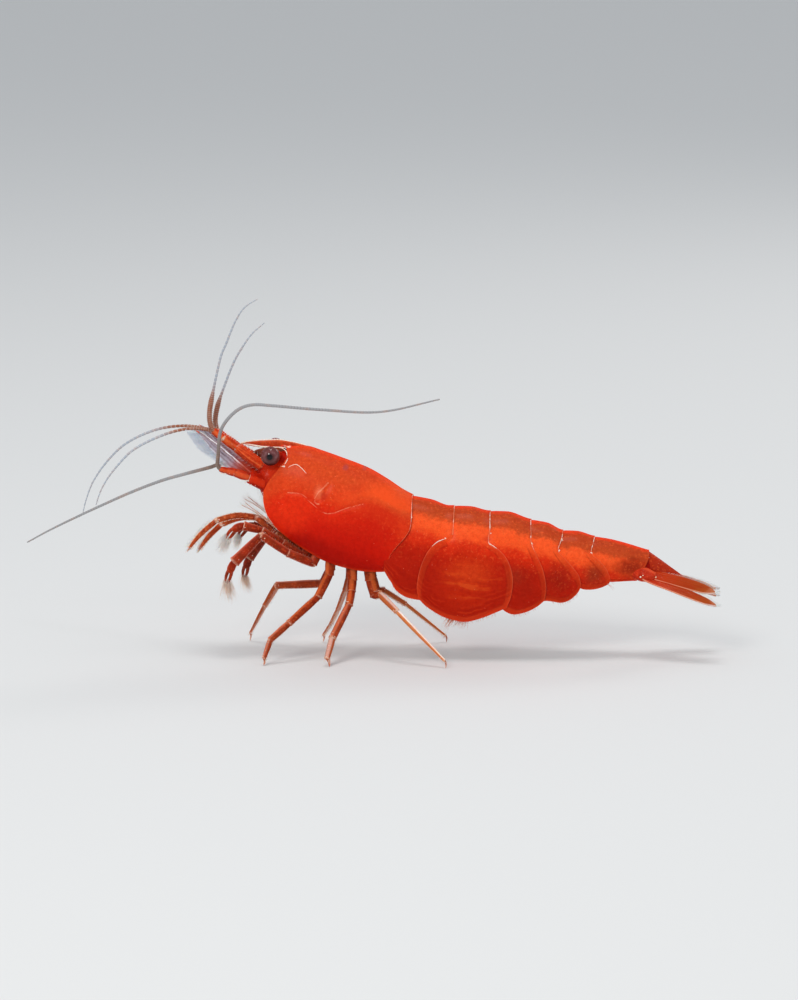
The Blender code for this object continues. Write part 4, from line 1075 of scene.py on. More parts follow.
# the first two pairs of legs end in small brushed pincers
claws = {
    "leg_1_left": {
        "joints": [
            (4.0, -0.72, None), (3.78, -0.76, 6.02), (2.55, -0.9, 6.84), (1.33, -1.1, 7.6),
            (0.28, -1.22, 7.88)], "tip": (-0.78, -1.38, 7.0), "bow": 0.22,
        "radii": [0.26, 0.24, 0.23, 0.21, 0.27], "brush": 0.95, "hairs": 260, "spread": 0.95,
        "sweep": (-0.55, 0.0, -0.85)},
    "leg_1_right": {
        "joints": [
            (4.0, 0.72, None), (3.78, 0.76, 6.02), (2.55, 0.9, 6.74), (1.42, 1.1, 7.32), (0.66, 1.22, 7.5)],
        "tip": (-0.3, 1.38, 6.7), "bow": 0.2, "radii": [0.26, 0.24, 0.23, 0.21, 0.25], "brush": 0.8,
        "hairs": 200, "spread": 0.95, "sweep": (-0.45, 0.0, -0.9)},
    "leg_2_left": {
        "joints": [
            (4.6, -0.88, None), (4.34, -1.05, 5.64), (2.9, -1.47, 6.32), (1.31, -1.76, 7.42),
            (-0.24, -1.86, 5.86)], "tip": (-0.74, -1.89, 4.52), "bow": 0.07,
        "radii": [0.28, 0.26, 0.25, 0.23, 0.31], "brush": 1.2, "hairs": 130, "spread": 0.8,
        "sweep": (0.2, 0.0, -1.0)},
    "leg_2_right": {
        "joints": [
            (4.6, 0.88, None), (4.34, 1.05, 5.64), (2.95, 1.47, 6.26), (1.52, 1.78, 7.06),
            (0.34, 1.92, 5.46)], "tip": (-0.02, 1.94, 4.2), "bow": 0.06,
        "radii": [0.28, 0.25, 0.23, 0.21, 0.27], "brush": 1.0, "hairs": 110, "spread": 0.8,
        "sweep": (0.24, 0.0, -1.0)}}


def makeClawedLegs():
    for band, (name, leg) in enumerate(claws.items()):
        joints, radii = rooted(leg["joints"]), leg["radii"]
        sheet = newSheet()
        for i, (a, b) in enumerate(zip(joints, joints[1:])):
            ahead = (b - a).normalized()
            article(sheet, a - ahead * radii[i] * 0.35, b + ahead * radii[i + 1] * 0.25, radii[i],
                    radii[i + 1] * (1.06 if i == 3 else 1.0), pale=0.04, joint=0.4 if i < 2 else 0.9)
            if i:
                jointBall(sheet, a, radii[i] * 0.85)
            edges = framesAlong([a.lerp(b, t) for t in np.linspace(0.05, 0.97, 20)])
            glints(sheet, edges[-3:], radii[i + 1], 5 if i >= 2 else 0, 0.032, (0.0, 1.5, 3.1, 4.6))
            if i >= 1:
                bristleRow(legHairs, edges[::2], radii[i], 0.8, 0.11, 0.009, (0.5, 2.7, -2.4),
                           0.5 + band * 0.05)
        wrist, tip = joints[-1], Vector(leg["tip"])
        ahead = (tip - wrist).normalized()
        hand = ahead.cross(Vector((0, 1, 0))).normalized()
        if hand.z <= 0 and (abs(hand.z) >= 0.3 or hand.x >= 0):
            hand = -hand
        bow = hand * leg["bow"]
        palm = wrist.lerp(tip, 0.45) + bow
        middle = wrist.lerp(tip, 0.22) + bow * 0.8
        bentArticle(sheet, [wrist - ahead * 0.12, middle, palm, palm + ahead * 0.12],
                    [0.17, 0.27, 0.29, 0.22], 18, flat=0.85, pale=0.03, up=tuple(hand), joint=0.5)
        brush = brushPale if name.startswith("leg_1") else brushWarm
        sweep = Vector(leg["sweep"]).normalized()
        for way in (-1, 1):                      # two spoon-shaped fingers that nearly close
            root = palm + hand * way * 0.115
            mid = wrist.lerp(tip, 0.74) + bow * 0.7 + hand * way * 0.125
            end = tip + hand * way * 0.045
            bentArticle(sheet, [root, mid, end], [0.15, 0.125, 0.05], 12, pale=0.1, flat=0.75, count=16,
                        up=tuple(hand), joint=0.5)
            for k in range(leg["hairs"]):        # the brush that wraps each finger's end
                t = random.random() ** 0.6
                around = random.uniform(0, 2 * math.pi)
                out = hand * math.cos(around) + Vector((0, math.sin(around), 0))
                start = mid.lerp(end, t) + out * 0.085 * (1.2 - t)
                lean = sweep + out * random.uniform(0.05, leg["spread"]) + hand * way * 0.08
                size = leg["brush"] * random.uniform(0.45, 1.08)
                bend = (sweep - lean.normalized()) * size * random.uniform(0.2, 0.6)
                brush.add(start, lean, size, 0.008, bend, (0.1 + 0.8 * t, 0.15 + band * 0.2))
        # the far (right) side's pincer legs take a darker copy of the limb colour, painted shade
        addSolid(name + "_limb", sheet, limbFarShade if name.endswith("right") else limbDeep, "limbs", [name])
    print("clawed legs made")


# the long jaw legs below the head, with combs and a side branch
jaws = {
    "maxilliped_left": {
        "joints": [(3.4, -0.33, None), (3.3, -0.33, 6.5), (2.1, -0.36, 7.35), (0.95, -0.52, 8.3)],
        "arch": [(0.95, -0.52, 8.3), (-0.24, -0.66, 8.42), (-1.42, -0.8, 8.14)],
        "last": [(-1.42, -0.8, 8.14), (-2.37, -0.95, 7.3), (-3.08, -1.0, 6.42)], "side": -1},
    "maxilliped_right": {
        "joints": [(3.4, 0.33, None), (3.3, 0.33, 6.5), (2.1, 0.36, 7.3), (1.02, 0.5, 8.12)],
        "arch": [(1.02, 0.5, 8.12), (-0.15, 0.62, 8.08), (-1.25, 0.78, 7.66)],
        "last": [(-1.25, 0.78, 7.66), (-2.05, 0.92, 6.86), (-2.66, 1.0, 6.04)], "side": 1}}


def makeJaws():
    for band, (name, jaw) in enumerate(jaws.items()):
        joints, side = rooted(jaw["joints"]), jaw["side"]
        sheet = newSheet()
        for a, b in zip(joints, joints[1:]):
            article(sheet, a, b, 0.22, 0.21)
        arch = bentArticle(sheet, jaw["arch"], [0.19, 0.185, 0.17], count=30)
        last = bentArticle(sheet, jaw["last"], [0.165, 0.15, 0.075], count=30)
        for place in (joints[2], joints[3], jaw["last"][0]):
            jointBall(sheet, place, 0.165)
        tip = Vector(jaw["last"][-1])
        claw(sheet, tip, tip + Vector((-0.1, 0, -0.16)), 0.06, 0.01, 0.9)
        for frames, radius in ((arch, 0.19), (last, 0.15)):
            for turn in (0.0, math.pi):          # beads of short spines on both edges
                for point, ahead, lift, across in pointsAlong(frames, 19, 0.03):
                    out = (lift * math.cos(turn) + across * 0.25 * side).normalized()
                    addTooth(sheet, point + out * radius * 0.84, out * 0.6 + ahead, 0.1, 0.044, 1.0, 6)
        glints(sheet, arch[-3:] + last[:2], 0.18, 14, 0.034, (0.0, 1.5, 3.1, 4.6))
        for i, (point, ahead, lift, across) in enumerate(pointsAlong(last, 9, 0.05)):
            for k in range(9):                   # the comb, in clusters
                lean = (k - 4) * 0.1
                combHairs.add(point + lift * 0.12 + ahead * lean * 0.4,
                              lift + ahead * (0.2 + lean) + across * lean * 0.5,
                              0.27 - i * 0.006, 0.016, ahead * 0.07, (0.1 + i * 0.09, 0.2 + band * 0.3))
        for _ in range(70):                      # the white tip
            out = Vector((-0.62, random.uniform(-0.3, 0.3), -0.78 + random.uniform(-0.2, 0.2)))
            start = last[random.randint(22, 29)][0] + Vector([random.uniform(-0.07, 0.07) for _ in range(3)])
            combHairs.add(start, out, random.uniform(0.14, 0.26), 0.015, (0, 0, -0.03),
                          (0.9, 0.2 + band * 0.3))
        bristleRow(combHairs, pointsAlong(arch, 16, 0.04), 0.17, 0.7, 0.13, 0.01, (0.3, 2.8, -0.5),
                   0.35 + band * 0.3)
        addSolid(name + "_limb", sheet, jawRed, "limbs", [name])
        rods = newSheet()                        # its thin pale side branch
        for lean in (0.0, 0.13):
            points = [(2.35, side * 0.9, 7.55 + lean), (1.55, side * 1.0, 8.2 + lean),
                      (0.8, side * 1.06, 8.76 + lean), (0.12 + lean * 1.6, side * 1.1, 9.12 + lean)]
            radii = np.linspace(0.045, 0.016, 22)
            frames = sweepTube(rods, smoothPath(points, 22), radii, 8, pale=1.0, rim=0.2)
            bristleRow(combHairs, frames[10:], 0.02, 1.6, 0.34, 0.008, (0.2, 1.2, -1.2, 3.0),
                       0.75 + band * 0.1)
        addSolid(f"sideBranch_{'left' if side < 0 else 'right'}", rods, paleRod, "limbs")
    print("jaw legs made")


# line, number, lean and length of each row of hairs
looseHairs = [
    (hood["lower"][:5], 60, (-0.75, 0, -0.55), 0.42), (lowerEdges[1], 90, (0.15, 0, -1.0), 0.24),
    (lowerEdges[2], 50, (0.3, 0, -0.9), 0.22), (lowerEdges[3], 40, (0.4, 0, -0.9), 0.2),
    (lowerEdges[0], 30, (-0.1, 0, -1.0), 0.2)]


def makeLooseHairs():
    # hairs at the front edge of the carapace and under the side plates
    for _, side in bothSides:
        for row, (line, count, lean, long) in enumerate(looseHairs):
            form, coat, band = (abdomen, plateHairs, 0.12) if row else (head, feelerHairs, 0.93)
            path = smoothPath(line, 80)
            for _ in range(count):
                x, z = path[random.randint(0, 79)]
                root = form.beside(x, z, side, -0.03)
                out = Vector(lean) + Vector([random.uniform(-0.3, 0.3) for _ in range(3)])
                coat.add(root, out, long * random.uniform(0.5, 1.1), 0.007, (0, 0, -0.04),
                         (mapPlace(x), band))
        for _ in range(12):                      # fine bristles hang in front of the mouth
            x = random.uniform(1.02, 1.42)
            root = (x, side * random.uniform(0.55, 0.9), 10.12 - (x - 0.98) * 0.8)
            feelerHairs.add(root, (random.uniform(-0.1, 0.16), 0, -1.0), random.uniform(0.5, 1.3), 0.007,
                            (0.12, 0, 0), (mapPlace(x), 0.97))
        for _ in range(90):                      # a red brush hangs out below the second ring
            x = random.uniform(12.4, 13.7)
            root = (x, side * random.uniform(0.9, 1.35), 2.62 + random.uniform(-0.1, 0.1))
            bellyFringe.add(root, (-0.35 + random.uniform(-0.5, 0.5), side * 0.1, -0.9),
                            random.uniform(0.45, 0.85), 0.015, (-0.12, 0, -0.02), (mapPlace(x), 0.97))
        for lean in (-0.2, 0.0, 0.25):           # three longer bristles behind the fifth ring's side plate
            root = abdomen.beside(21.72, 4.58, side, -0.01)
            plateHairs.add(root, (0.8 + lean, side * 0.1, -0.6), 0.55, 0.01, (0.05, 0, -0.05), (0.5, 0.5))


# the lip's middle, and root, tip and width of each left plate
mouth = {
    "lip": (1.95, 0.0, 9.1), "lipRadius": 0.42,
    "plates": [
        ((2.75, -0.3, 7.55), (1.75, -0.42, 8.35), 0.24), ((2.45, -0.48, 7.95), (1.55, -0.62, 8.8), 0.28),
        ((2.3, -0.62, 8.45), (1.62, -0.74, 9.15), 0.3)]}


def makeMouth():
    # small curved plates that fold under the head
    sheet = newSheet()
    for _, side in bothSides:
        for start, end, width in mouth["plates"]:
            a, b = (Vector(p) for p in mirrored([start, end], side))
            mid = a.lerp(b, 0.5) + Vector((-0.22, side * 0.1, -0.16))
            frames = bentArticle(sheet, [a, mid, b], [width * 0.6, width, width * 0.45], 12, flat=0.42,
                                 count=20, up=(0.6, 0, 0.8), joint=0.3)
            for point, ahead, _, across in pointsAlong(frames, 12, 0.1):
                for hand in (-1, 1):
                    legHairs.add(point + across * hand * width * 0.7, across * hand + ahead * 0.9, 0.16,
                                 0.008, ahead * 0.05, (0.5, 0.97))
    stand = Matrix.Translation(mouth["lip"]) @ Matrix.Diagonal((0.8, 1.15, 1.0, 1))
    lip = bmesh.ops.create_uvsphere(sheet, u_segments=20, v_segments=12, radius=mouth["lipRadius"],
                                    matrix=stand)
    mark(sheet, lip["verts"], pale=0.1)
    addSolid("mouthParts", sheet, limbRed, "limbs")
    print("mouth parts made")


# three-jointed stalks, each carrying two beaded feelers; a length is its first and last joint and its radii
antennules = {
    "stalks": {
        "antennule_left": [
            (1.3, -0.36, 11.34), (0.18, -0.36, 12.14), (-0.28, -0.36, 12.48), (-0.98, -0.36, 12.98),
            (-1.6, -0.37, 13.44)],
        "antennule_right": [
            (1.3, 0.36, 11.34), (0.22, 0.36, 12.06), (-0.24, 0.36, 12.38), (-0.92, 0.36, 12.88),
            (-1.5, 0.37, 13.34)]},
    "lengths": [(0, 2, (0.33, 0.36, 0.3)), (2, 3, (0.27, 0.28, 0.25)), (3, 4, (0.235, 0.24, 0.2))],
    "feelers": {
        "antennule_outer_left": [
            (-1.58, -0.4, 13.4), (-1.78, -0.42, 13.86), (-1.82, -0.45, 14.5), (-1.69, -0.5, 15.35),
            (-1.16, -0.65, 17.73), (-0.8, -0.7, 18.66), (-0.23, -0.8, 20.02), (0.32, -0.9, 20.85),
            (1.1, -1.0, 21.38)],
        "antennule_outer_right": [
            (-1.46, 0.4, 13.36), (-1.56, 0.42, 13.92), (-1.47, 0.46, 14.6), (-1.23, 0.5, 15.4),
            (-0.55, 0.65, 17.2), (-0.01, 0.7, 18.2), (0.63, 0.8, 19.1), (1.35, 0.9, 19.73)],
        "antennule_inner_left": [
            (-1.62, -0.35, 13.42), (-2.08, -0.36, 13.5), (-2.8, -0.37, 13.56), (-3.55, -0.4, 13.48),
            (-4.45, -0.56, 13.24), (-5.54, -0.8, 12.79), (-6.43, -1.0, 12.26), (-7.15, -1.1, 11.53),
            (-7.79, -1.2, 10.72), (-8.24, -1.3, 9.91), (-8.52, -1.35, 9.09)],
        "antennule_inner_right": [
            (-1.52, 0.35, 13.32), (-2.0, 0.36, 13.44), (-2.7, 0.4, 13.56), (-3.4, 0.48, 13.6),
            (-4.42, 0.72, 13.48), (-5.35, 0.95, 13.22), (-6.37, 1.1, 12.77), (-7.31, 1.25, 12.15),
            (-8.25, 1.4, 11.15), (-9.01, 1.5, 10.02), (-9.45, 1.6, 8.89), (-9.64, 1.65, 8.14)]},
    "outer": {
        "thick": [(0.0, 0.16), (0.2, 0.165), (0.26, 0.12), (0.3, 0.085), (0.7, 0.062), (1.0, 0.03)],
        "beads": (0.115, 0.26), "change": 0.27},
    "inner": {
        "thick": [(0.0, 0.105), (0.15, 0.095), (0.6, 0.07), (1.0, 0.03)], "beads": (0.14, 0.28),
        "change": 0.12}}


def beaded(sheet, points, thick, beads, change, sides=10, waist=0.8, count=400):
    # a feeler of many short lengths; beads are the length near the root and the greater one beyond change
    path = smoothPath(points, count)
    total = float(np.linalg.norm(np.diff(path, axis=0), axis=1).sum())
    at, marks, joints, runs = 0.0, [], [], []
    while at < total - beads[0]:
        size = beads[0] + (beads[1] - beads[0]) * fade(at / total, change - 0.06, change + 0.1)
        for t, joint in ((0.0, 1.0), (0.22, 0.25), (0.62, 0.0), (0.92, 0.5)):
            marks.append(at + t * size)
            joints.append(joint)
            runs.append(at / total)
        at += size
    marks, runs, joints = [*marks, total], [*runs, 1.0], [*joints, 1.0]
    ts = np.array(marks) / total
    line = np.array([np.interp(ts, np.linspace(0, 1, count), path[:, k]) for k in range(3)]).T
    radius = levelLine(thick)
    swell = [waist + (1 - waist) * (1 - joint) for joint in joints]
    radii = [radius(t) * k for t, k in zip(ts, swell)]
    radii[0] *= 0.8
    return sweepTube(sheet, line, radii, sides, rim=joints, run=runs, up=(0.2, 1.0, 0.1))


def makeAntennules():
    for name, joints in antennules["stalks"].items():
        side = -1 if name.endswith("left") else 1
        sheet = newSheet()
        for first, last, swell in antennules["lengths"]:
            a, b = Vector(joints[first]), Vector(joints[last])
            a = a if first else a + (a - b).normalized() * 0.6
            ahead = (b - a).normalized()
            bentArticle(sheet, [a - ahead * 0.08, a.lerp(b, 0.5), b + ahead * 0.06], swell, 16, count=18,
                        up=(0, 1, 0), flat=0.86)
            rise = Vector((ahead.z, 0, -ahead.x))
            for t in np.linspace(0.18, 0.95, 5 if first else 9):   # glinting spines along the upper edge
                root = a.lerp(b, t)
                addTooth(sheet, root + rise * swell[1] * 0.95, rise * 0.5 + ahead, 0.09, 0.022, 0.8, 6)
                for hand, lean, long, start in ((1, 0.5, 0.3, 0.1), (-1, 0.6, 0.34, 0.5)):
                    feelerHairs.add(root + rise * hand * swell[1] * 0.9, rise * hand + ahead * lean,
                                    random.uniform(0.16, long), 0.01, ahead * 0.05,
                                    (start + t * 0.1 + first * 0.1, 0.05 + 0.05 * side))
        blade = [(1.35, side * 0.62, 11.32), (0.6, side * 0.8, 11.84), (-0.05, side * 0.8, 12.36),
                 (-0.52, side * 0.72, 12.74)]
        bentArticle(sheet, blade, [0.22, 0.2, 0.13, 0.02], 12, flat=0.4, count=22, up=(0, side, 0), joint=0.4)
        for place in (joints[2], joints[3]):
            jointBall(sheet, place, 0.24)
        addSolid(name + "_stalk", sheet, feelerStalk, "feelers", [name])
    for band, (name, points) in enumerate(antennules["feelers"].items()):
        kind = antennules["outer" if "outer" in name else "inner"]
        sheet = newSheet()
        frames = beaded(sheet, points, kind["thick"], kind["beads"], kind["change"])
        radius = levelLine(kind["thick"])
        for i, (point, ahead, lift, across) in enumerate(frames[6::8]):
            t = (6 + 8 * i) / len(frames)
            for hand in (-1, 1):
                out = lift * random.uniform(-0.6, 0.6) + across * hand
                feelerHairs.add(point + out.normalized() * radius(t) * 0.8, out + ahead * 1.1,
                                0.075 + radius(t) * 0.5, 0.006, ahead * 0.02,
                                (0.02 + 0.95 * t, 0.3 + band * 0.05))
        addSolid(name + "_beads", sheet, feelerBrown, "feelers", [name])
    print("antennules made")


# the second pair: jointed base, long whip and flat scale
antennae = {
    "base": [
        (2.05, -0.42, 10.12), (0.52, -1.12, 10.8), (-0.22, -1.22, 11.07), (-0.72, -1.26, 11.19),
        (-1.14, -1.33, 11.3)],
    "whips": {
        "antenna_left": [
            (-1.06, -1.3, 11.24), (-1.27, -1.46, 11.56), (-1.2, -1.72, 12.3), (-1.09, -1.95, 13.42),
            (-0.74, -2.2, 14.21), (0.05, -2.7, 15.03), (0.94, -3.2, 15.4), (2.22, -4.0, 15.47),
            (5.26, -5.8, 15.5), (8.74, -7.8, 15.69), (12.2, -9.7, 16.7)],
        "antenna_right": [
            (-1.06, 1.3, 11.26), (-1.5, 1.4, 11.16), (-2.0, 1.52, 10.96), (-3.67, 2.4, 10.39),
            (-5.05, 3.2, 9.88), (-6.53, 4.1, 9.21), (-8.02, 5.0, 8.46), (-10.46, 6.7, 7.13),
            (-12.44, 8.2, 5.99), (-14.0, 9.5, 5.0)]},
    "thick": [(0.0, 0.14), (0.05, 0.118), (0.3, 0.1), (0.7, 0.078), (1.0, 0.045)], "beads": (0.13, 0.22),
    "change": 0.35, "radii": [(0.5, 0.46, 0.34), (0.27, 0.29, 0.25), (0.235, 0.25, 0.2), (0.19, 0.19, 0.15)]}


def makeAntennae():
    for name, side in bothSides:
        joints = [Vector(p) for p in mirrored(antennae["base"], side)]
        stump, sheet = newSheet(), newSheet()
        for i, radii in enumerate(antennae["radii"]):
            a, b = joints[i], joints[i + 1]
            ahead = (b - a).normalized()
            bentArticle(sheet if i else stump, [a - ahead * 0.1, a.lerp(b, 0.5), b + ahead * 0.06], radii, 16,
                        count=16, up=(0, 1, 0), joint=0.45 if i else 0.0, collar=0.12 if i else 0.02)
            if i:
                jointBall(sheet, a, radii[0] * 0.95)
        low = framesAlong([joints[0].lerp(joints[1], t) for t in np.linspace(0.35, 1.0, 10)])
        glints(stump, low, 0.42, 16, 0.032, (3.14, 2.7, 3.6))
        addSolid(f"antennaStump_{name}", stump, fleshRed, "feelers")
        addTooth(sheet, joints[1] + Vector((0.05, side * 0.16, -0.18)), (-0.9, 0, 0.1), 0.5, 0.08, 0.4, 10)
        addTooth(sheet, joints[3] + Vector((-0.05, side * 0.1, -0.14)), (-0.9, side * 0.1, -0.2), 0.22,
                 0.05, 0.8, 8)
        ends = framesAlong([joints[2].lerp(joints[4], t) for t in np.linspace(0.1, 0.95, 10)])
        glints(sheet, ends, 0.22, 22, 0.034, (3.14, 2.6, 3.7, 1.6 * -side))
        addSolid(f"antennaBase_{name}", sheet, baseRed, "feelers", [f"antenna_base_{name}"])
        whip = newSheet()
        points = antennae["whips"][f"antenna_{name}"]
        frames = beaded(whip, points, antennae["thick"], antennae["beads"], antennae["change"], 10, 0.86)
        addSolid(f"antennaWhip_{name}", whip, whipGrey, "feelers", [f"antenna_{name}"])
        for i, (point, ahead, lift, across) in enumerate(frames[8::8]):
            for hand in (-1, 1):
                out = across * hand + ahead * 1.2 + lift * random.uniform(-0.5, 0.5)
                feelerHairs.add(point + across * hand * 0.05, out, 0.1, 0.006, ahead * 0.02,
                                (0.02 + 0.95 * i * 8 / len(frames), 0.6 + 0.1 * side))
    print("antennae made")


# outline in the scale's own plane: along it and across it, left side
scale = {
    "root": (-0.2, -0.84, 11.2), "tip": (-3.2, -0.99, 13.52), "lean": 0.42, "start": -1.35, "length": 4.57,
    "upper": [
        (-1.35, 0.34), (-0.55, 0.48), (0.0, 0.54), (0.85, 0.58), (1.88, 0.62), (2.91, 0.6), (3.22, 0.46)],
    "lower": [
        (-1.35, -0.12), (-0.55, -0.22), (0.1, -0.26), (0.66, -0.17), (1.3, -0.06), (1.96, 0.06), (2.76, 0.3),
        (3.22, 0.42)],
    "fringe": [
        (0.2, -0.36), (0.45, -0.42), (1.13, -0.5), (2.41, -0.58), (3.55, -0.44), (3.66, -0.1), (3.48, 0.3)],
    "ribs": [0.14, 0.32, 0.5, 0.68, 0.86], "columns": 70, "rows": 28, "wall": 0.05, "bristles": 190}


def scalePlane(side):
    root, tip = (Vector(mirrored([scale[key]], side)[0]) for key in ("root", "tip"))
    ahead = (tip - root).normalized()
    rise = Vector((0, side * scale["lean"], 1))
    rise = (rise - ahead * rise.dot(ahead)).normalized()
    face = ahead.cross(rise) * -side
    return lambda along, across, off=0.0: root + ahead * along + rise * across + face * off


def makeScales():
    upper, lower = levelLine(scale["upper"]), levelLine(scale["lower"])
    fringe = levelLine(scale["fringe"][:-1])
    for band, (name, side) in enumerate(bothSides):
        at = scalePlane(side)
        sheet = newSheet()
        bmesh.ops.create_grid(sheet, x_segments=scale["columns"], y_segments=scale["rows"], size=1)
        for vert in sheet.verts:
            t, s = (vert.co.x + 1) / 2, (vert.co.y + 1) / 2
            along = scale["start"] + scale["length"] * t
            across = lower(along) * (1 - s) + upper(along) * s
            ribs = sum(bell(s - k - 0.05 * t, 0.055) for k in scale["ribs"]) * 0.022
            dome = 0.09 * math.sin(math.pi * s) * fade(t, 0, 0.2) + 0.05 * bell(s - 1, 0.08)
            vert.co = at(along, across, dome + ribs * fade(t, 0, 0.15) * fade(1 - t, 0, 0.1))
            mark(sheet, [vert], run=t, rim=1 - s, down=s)
        thicken(sheet, scale["wall"])
        addTooth(sheet, at(3.1, 0.5), at(3.4, 0.46) - at(3.0, 0.52), 0.28, 0.07, 0.05, 10)
        addSolid(f"scaleBlade_{name}", sheet, scaleGrey, "scales", [f"antennal_scale_{name}"])
        # the fringe of feathery bristles along the inner edge and end
        for i in range(scale["bristles"]):
            t = (i + 0.5) / scale["bristles"]
            along = 0.1 + 3.05 * t
            root = at(along, lower(along) + 0.02, 0.05 + random.uniform(-0.02, 0.02))
            lean = 0.35 + 1.6 * t ** 2
            turn = math.atan(lean) * 0.9
            ahead, down = math.sin(turn), -math.cos(turn)
            reach = (lower(along) - fringe(min(along + 0.25, 3.55))) * (1.0 if t < 0.85 else 0.9)
            size = max(min(reach / max(-down, 0.5), 0.85), 0.32) * random.uniform(0.93, 1.03)
            way = at(ahead, down) - at(0, 0)
            spot = (0.02 + 0.96 * t, 0.25 + 0.5 * band)
            scaleFringe.plume(root, way, size, 0.011, at(1, 0.3) - at(0, 0), spot, 8)
    print("scales made")


# root and tip in side view, distance from the middle, greatest width
swimmerets = [
    ((10.2, 5.05), (11.5, 3.78), 0.46, 0.74), ((12.5, 4.95), (14.05, 3.12), 0.46, 0.74),
    ((15.1, 4.85), (16.55, 3.46), 0.46, 0.74), ((17.6, 4.65), (18.95, 3.9), 0.42, 0.66),
    ((19.95, 4.52), (21.15, 4.44), 0.31, 0.46)]


def leafSheet(sheet, root, tip, across, widths, thick, bow, columns, rows, ridge, **marks):
    # a thin leaf with rounded ends and a raised rib down its middle
    root, tip, across = Vector(root), Vector(tip), Vector(across)
    ahead = (tip - root).normalized()
    across = (across - ahead * across.dot(ahead)).normalized()
    up = across.cross(ahead)
    up = up if up.z > 0 else -up
    length = (tip - root).length
    width = levelLine([(t, w / 2) for t, w in widths])

    def halfWidth(t):
        # rounded off at both ends
        return width(t) * math.sqrt(max(1 - (2 * t - 1) ** 6, 0.0))

    grid = bmesh.ops.create_grid(sheet, x_segments=columns, y_segments=rows, size=1)["verts"]
    for vert in grid:
        t, s = eased((vert.co.x + 1) / 2, 0.5), vert.co.y
        half = halfWidth(t)
        curl = bow * math.sin(math.pi * t) - bow * 0.5 * s * s
        rib = ridge * (bell(s, 0.1) + 0.6 * bell(abs(s) - 0.55, 0.08)) * math.sin(math.pi * t) ** 0.5
        vert.co = root + ahead * length * t + across * half * s + up * (curl + rib)
        rim = min((1 - abs(s)) * max(half, 0.02), t * length, (1 - t) * length)
        mark(sheet, [vert], run=t, rim=rim, **marks)
    faces = list({face for vert in grid for face in vert.link_faces})
    bmesh.ops.solidify(sheet, geom=faces, thickness=thick)
    roundRims(sheet, list({edge for face in faces for edge in face.edges}), thick)

    def edge(t, s):
        # a place on the leaf's outline
        return root + ahead * length * t + across * halfWidth(t) * s, ahead, across
    return edge


def fringeLeaf(coat, edge, count, size, spot, start, width, barbs):
    # feathery bristles round a leaf's end, pointing outwards and back
    for hand in (-1, 1):
        for i in range(count):
            t = start + (0.995 - start) * ((i + 0.5) / count) ** 0.8
            root, ahead, across = edge(t, hand * 0.97)
            lean = 0.9 + 2.2 * fade(t, 0.75, 1.0)
            long = size * (0.55 + 0.45 * fade(t, start, 0.8))
            coat.plume(root, ahead * lean + across * hand, long, width, across,
                       (0.03 + 0.94 * t, spot + 0.02 * hand), barbs)
    for i in range(count // 2):
        s = -0.9 + 1.8 * (i + 0.5) / (count // 2)
        root, ahead, across = edge(0.985, s)
        coat.plume(root, ahead + across * s * 0.5, size, width, across, (0.5 + 0.4 * s, spot), barbs)


def makeSwimmerets():
    for number, ((x0, z0), (x1, z1), spread, width) in enumerate(swimmerets, start=1):
        for name, side in bothSides:
            sheet = newSheet()
            root = Vector((x0, side * spread, z0))
            tip = Vector((x1, side * spread, z1))
            knee = root.lerp(tip, 0.34)
            bentArticle(sheet, [root, root.lerp(knee, 0.5), knee], [width * k for k in (0.26, 0.28, 0.22)],
                        14, count=14, flat=0.7, up=(1, 0, 0))
            for k, (out, back, long) in enumerate(((0.1, 0.0, 1.0), (-0.1, 0.12, 0.82))):
                start = knee + Vector((0, side * out, 0.02))
                end = knee.lerp(tip, 0.86 * long) + Vector((back, side * (0.1 + out), 0))
                widths = [(t, width * part) for t, part in ((0, 0.3), (0.35, 0.5), (0.75, 0.44), (1, 0.2))]
                edge = leafSheet(sheet, start, end, (0.35, side, 0.2), widths, 0.035, 0.05 * (1 - k), 20, 8,
                                 0.01, pale=0.35)
                fringeLeaf(bellyFringe, edge, 12, 0.3 if number < 5 else 0.18,
                           0.09 * number + 0.2 * (side > 0) + 0.05, 0.25, 0.008, 4)
            addSolid(f"swimmeret{number}_{name}", sheet, limbRed, "limbs", [f"swimmeret_{number}_{name}"])
    print("swimmerets made")


tailFan = {
    "telson": {
        "root": (23.75, 0.0, 6.18), "tip": (26.62, 0.0, 4.24),
        "widths": [(0, 1.26), (0.2, 1.12), (0.45, 0.88), (0.7, 0.62), (1, 0.3)],
        "deep": [(0, 0.66), (0.3, 0.6), (0.6, 0.44), (0.85, 0.27), (1, 0.1)]},
    "inner": {
        "root": (23.8, -0.6, 5.26), "tip": (28.18, -1.1, 4.16), "lean": -0.75,
        "widths": [(0, 0.6), (0.15, 0.72), (0.3, 0.8), (0.55, 0.86), (0.82, 0.76), (1, 0.34)]},
    "outer": {
        "root": (23.8, -0.9, 4.98), "tip": (28.22, -2.12, 3.56), "lean": -0.42,
        "widths": [(0, 0.5), (0.25, 0.7), (0.6, 0.82), (0.85, 0.7), (1, 0.38)]},
    "hinge": {
        "path": [(23.1, -0.34, 5.16), (23.85, -0.6, 5.1), (24.6, -0.9, 4.92)], "radii": [0.34, 0.46, 0.3],
        "knobs": [((23.72, -1.03, 5.0), 0.055), ((23.86, -1.06, 5.1), 0.035), ((24.62, -1.2, 5.02), 0.045)]},
    "drop": {"left": 0.0, "right": -0.14}}


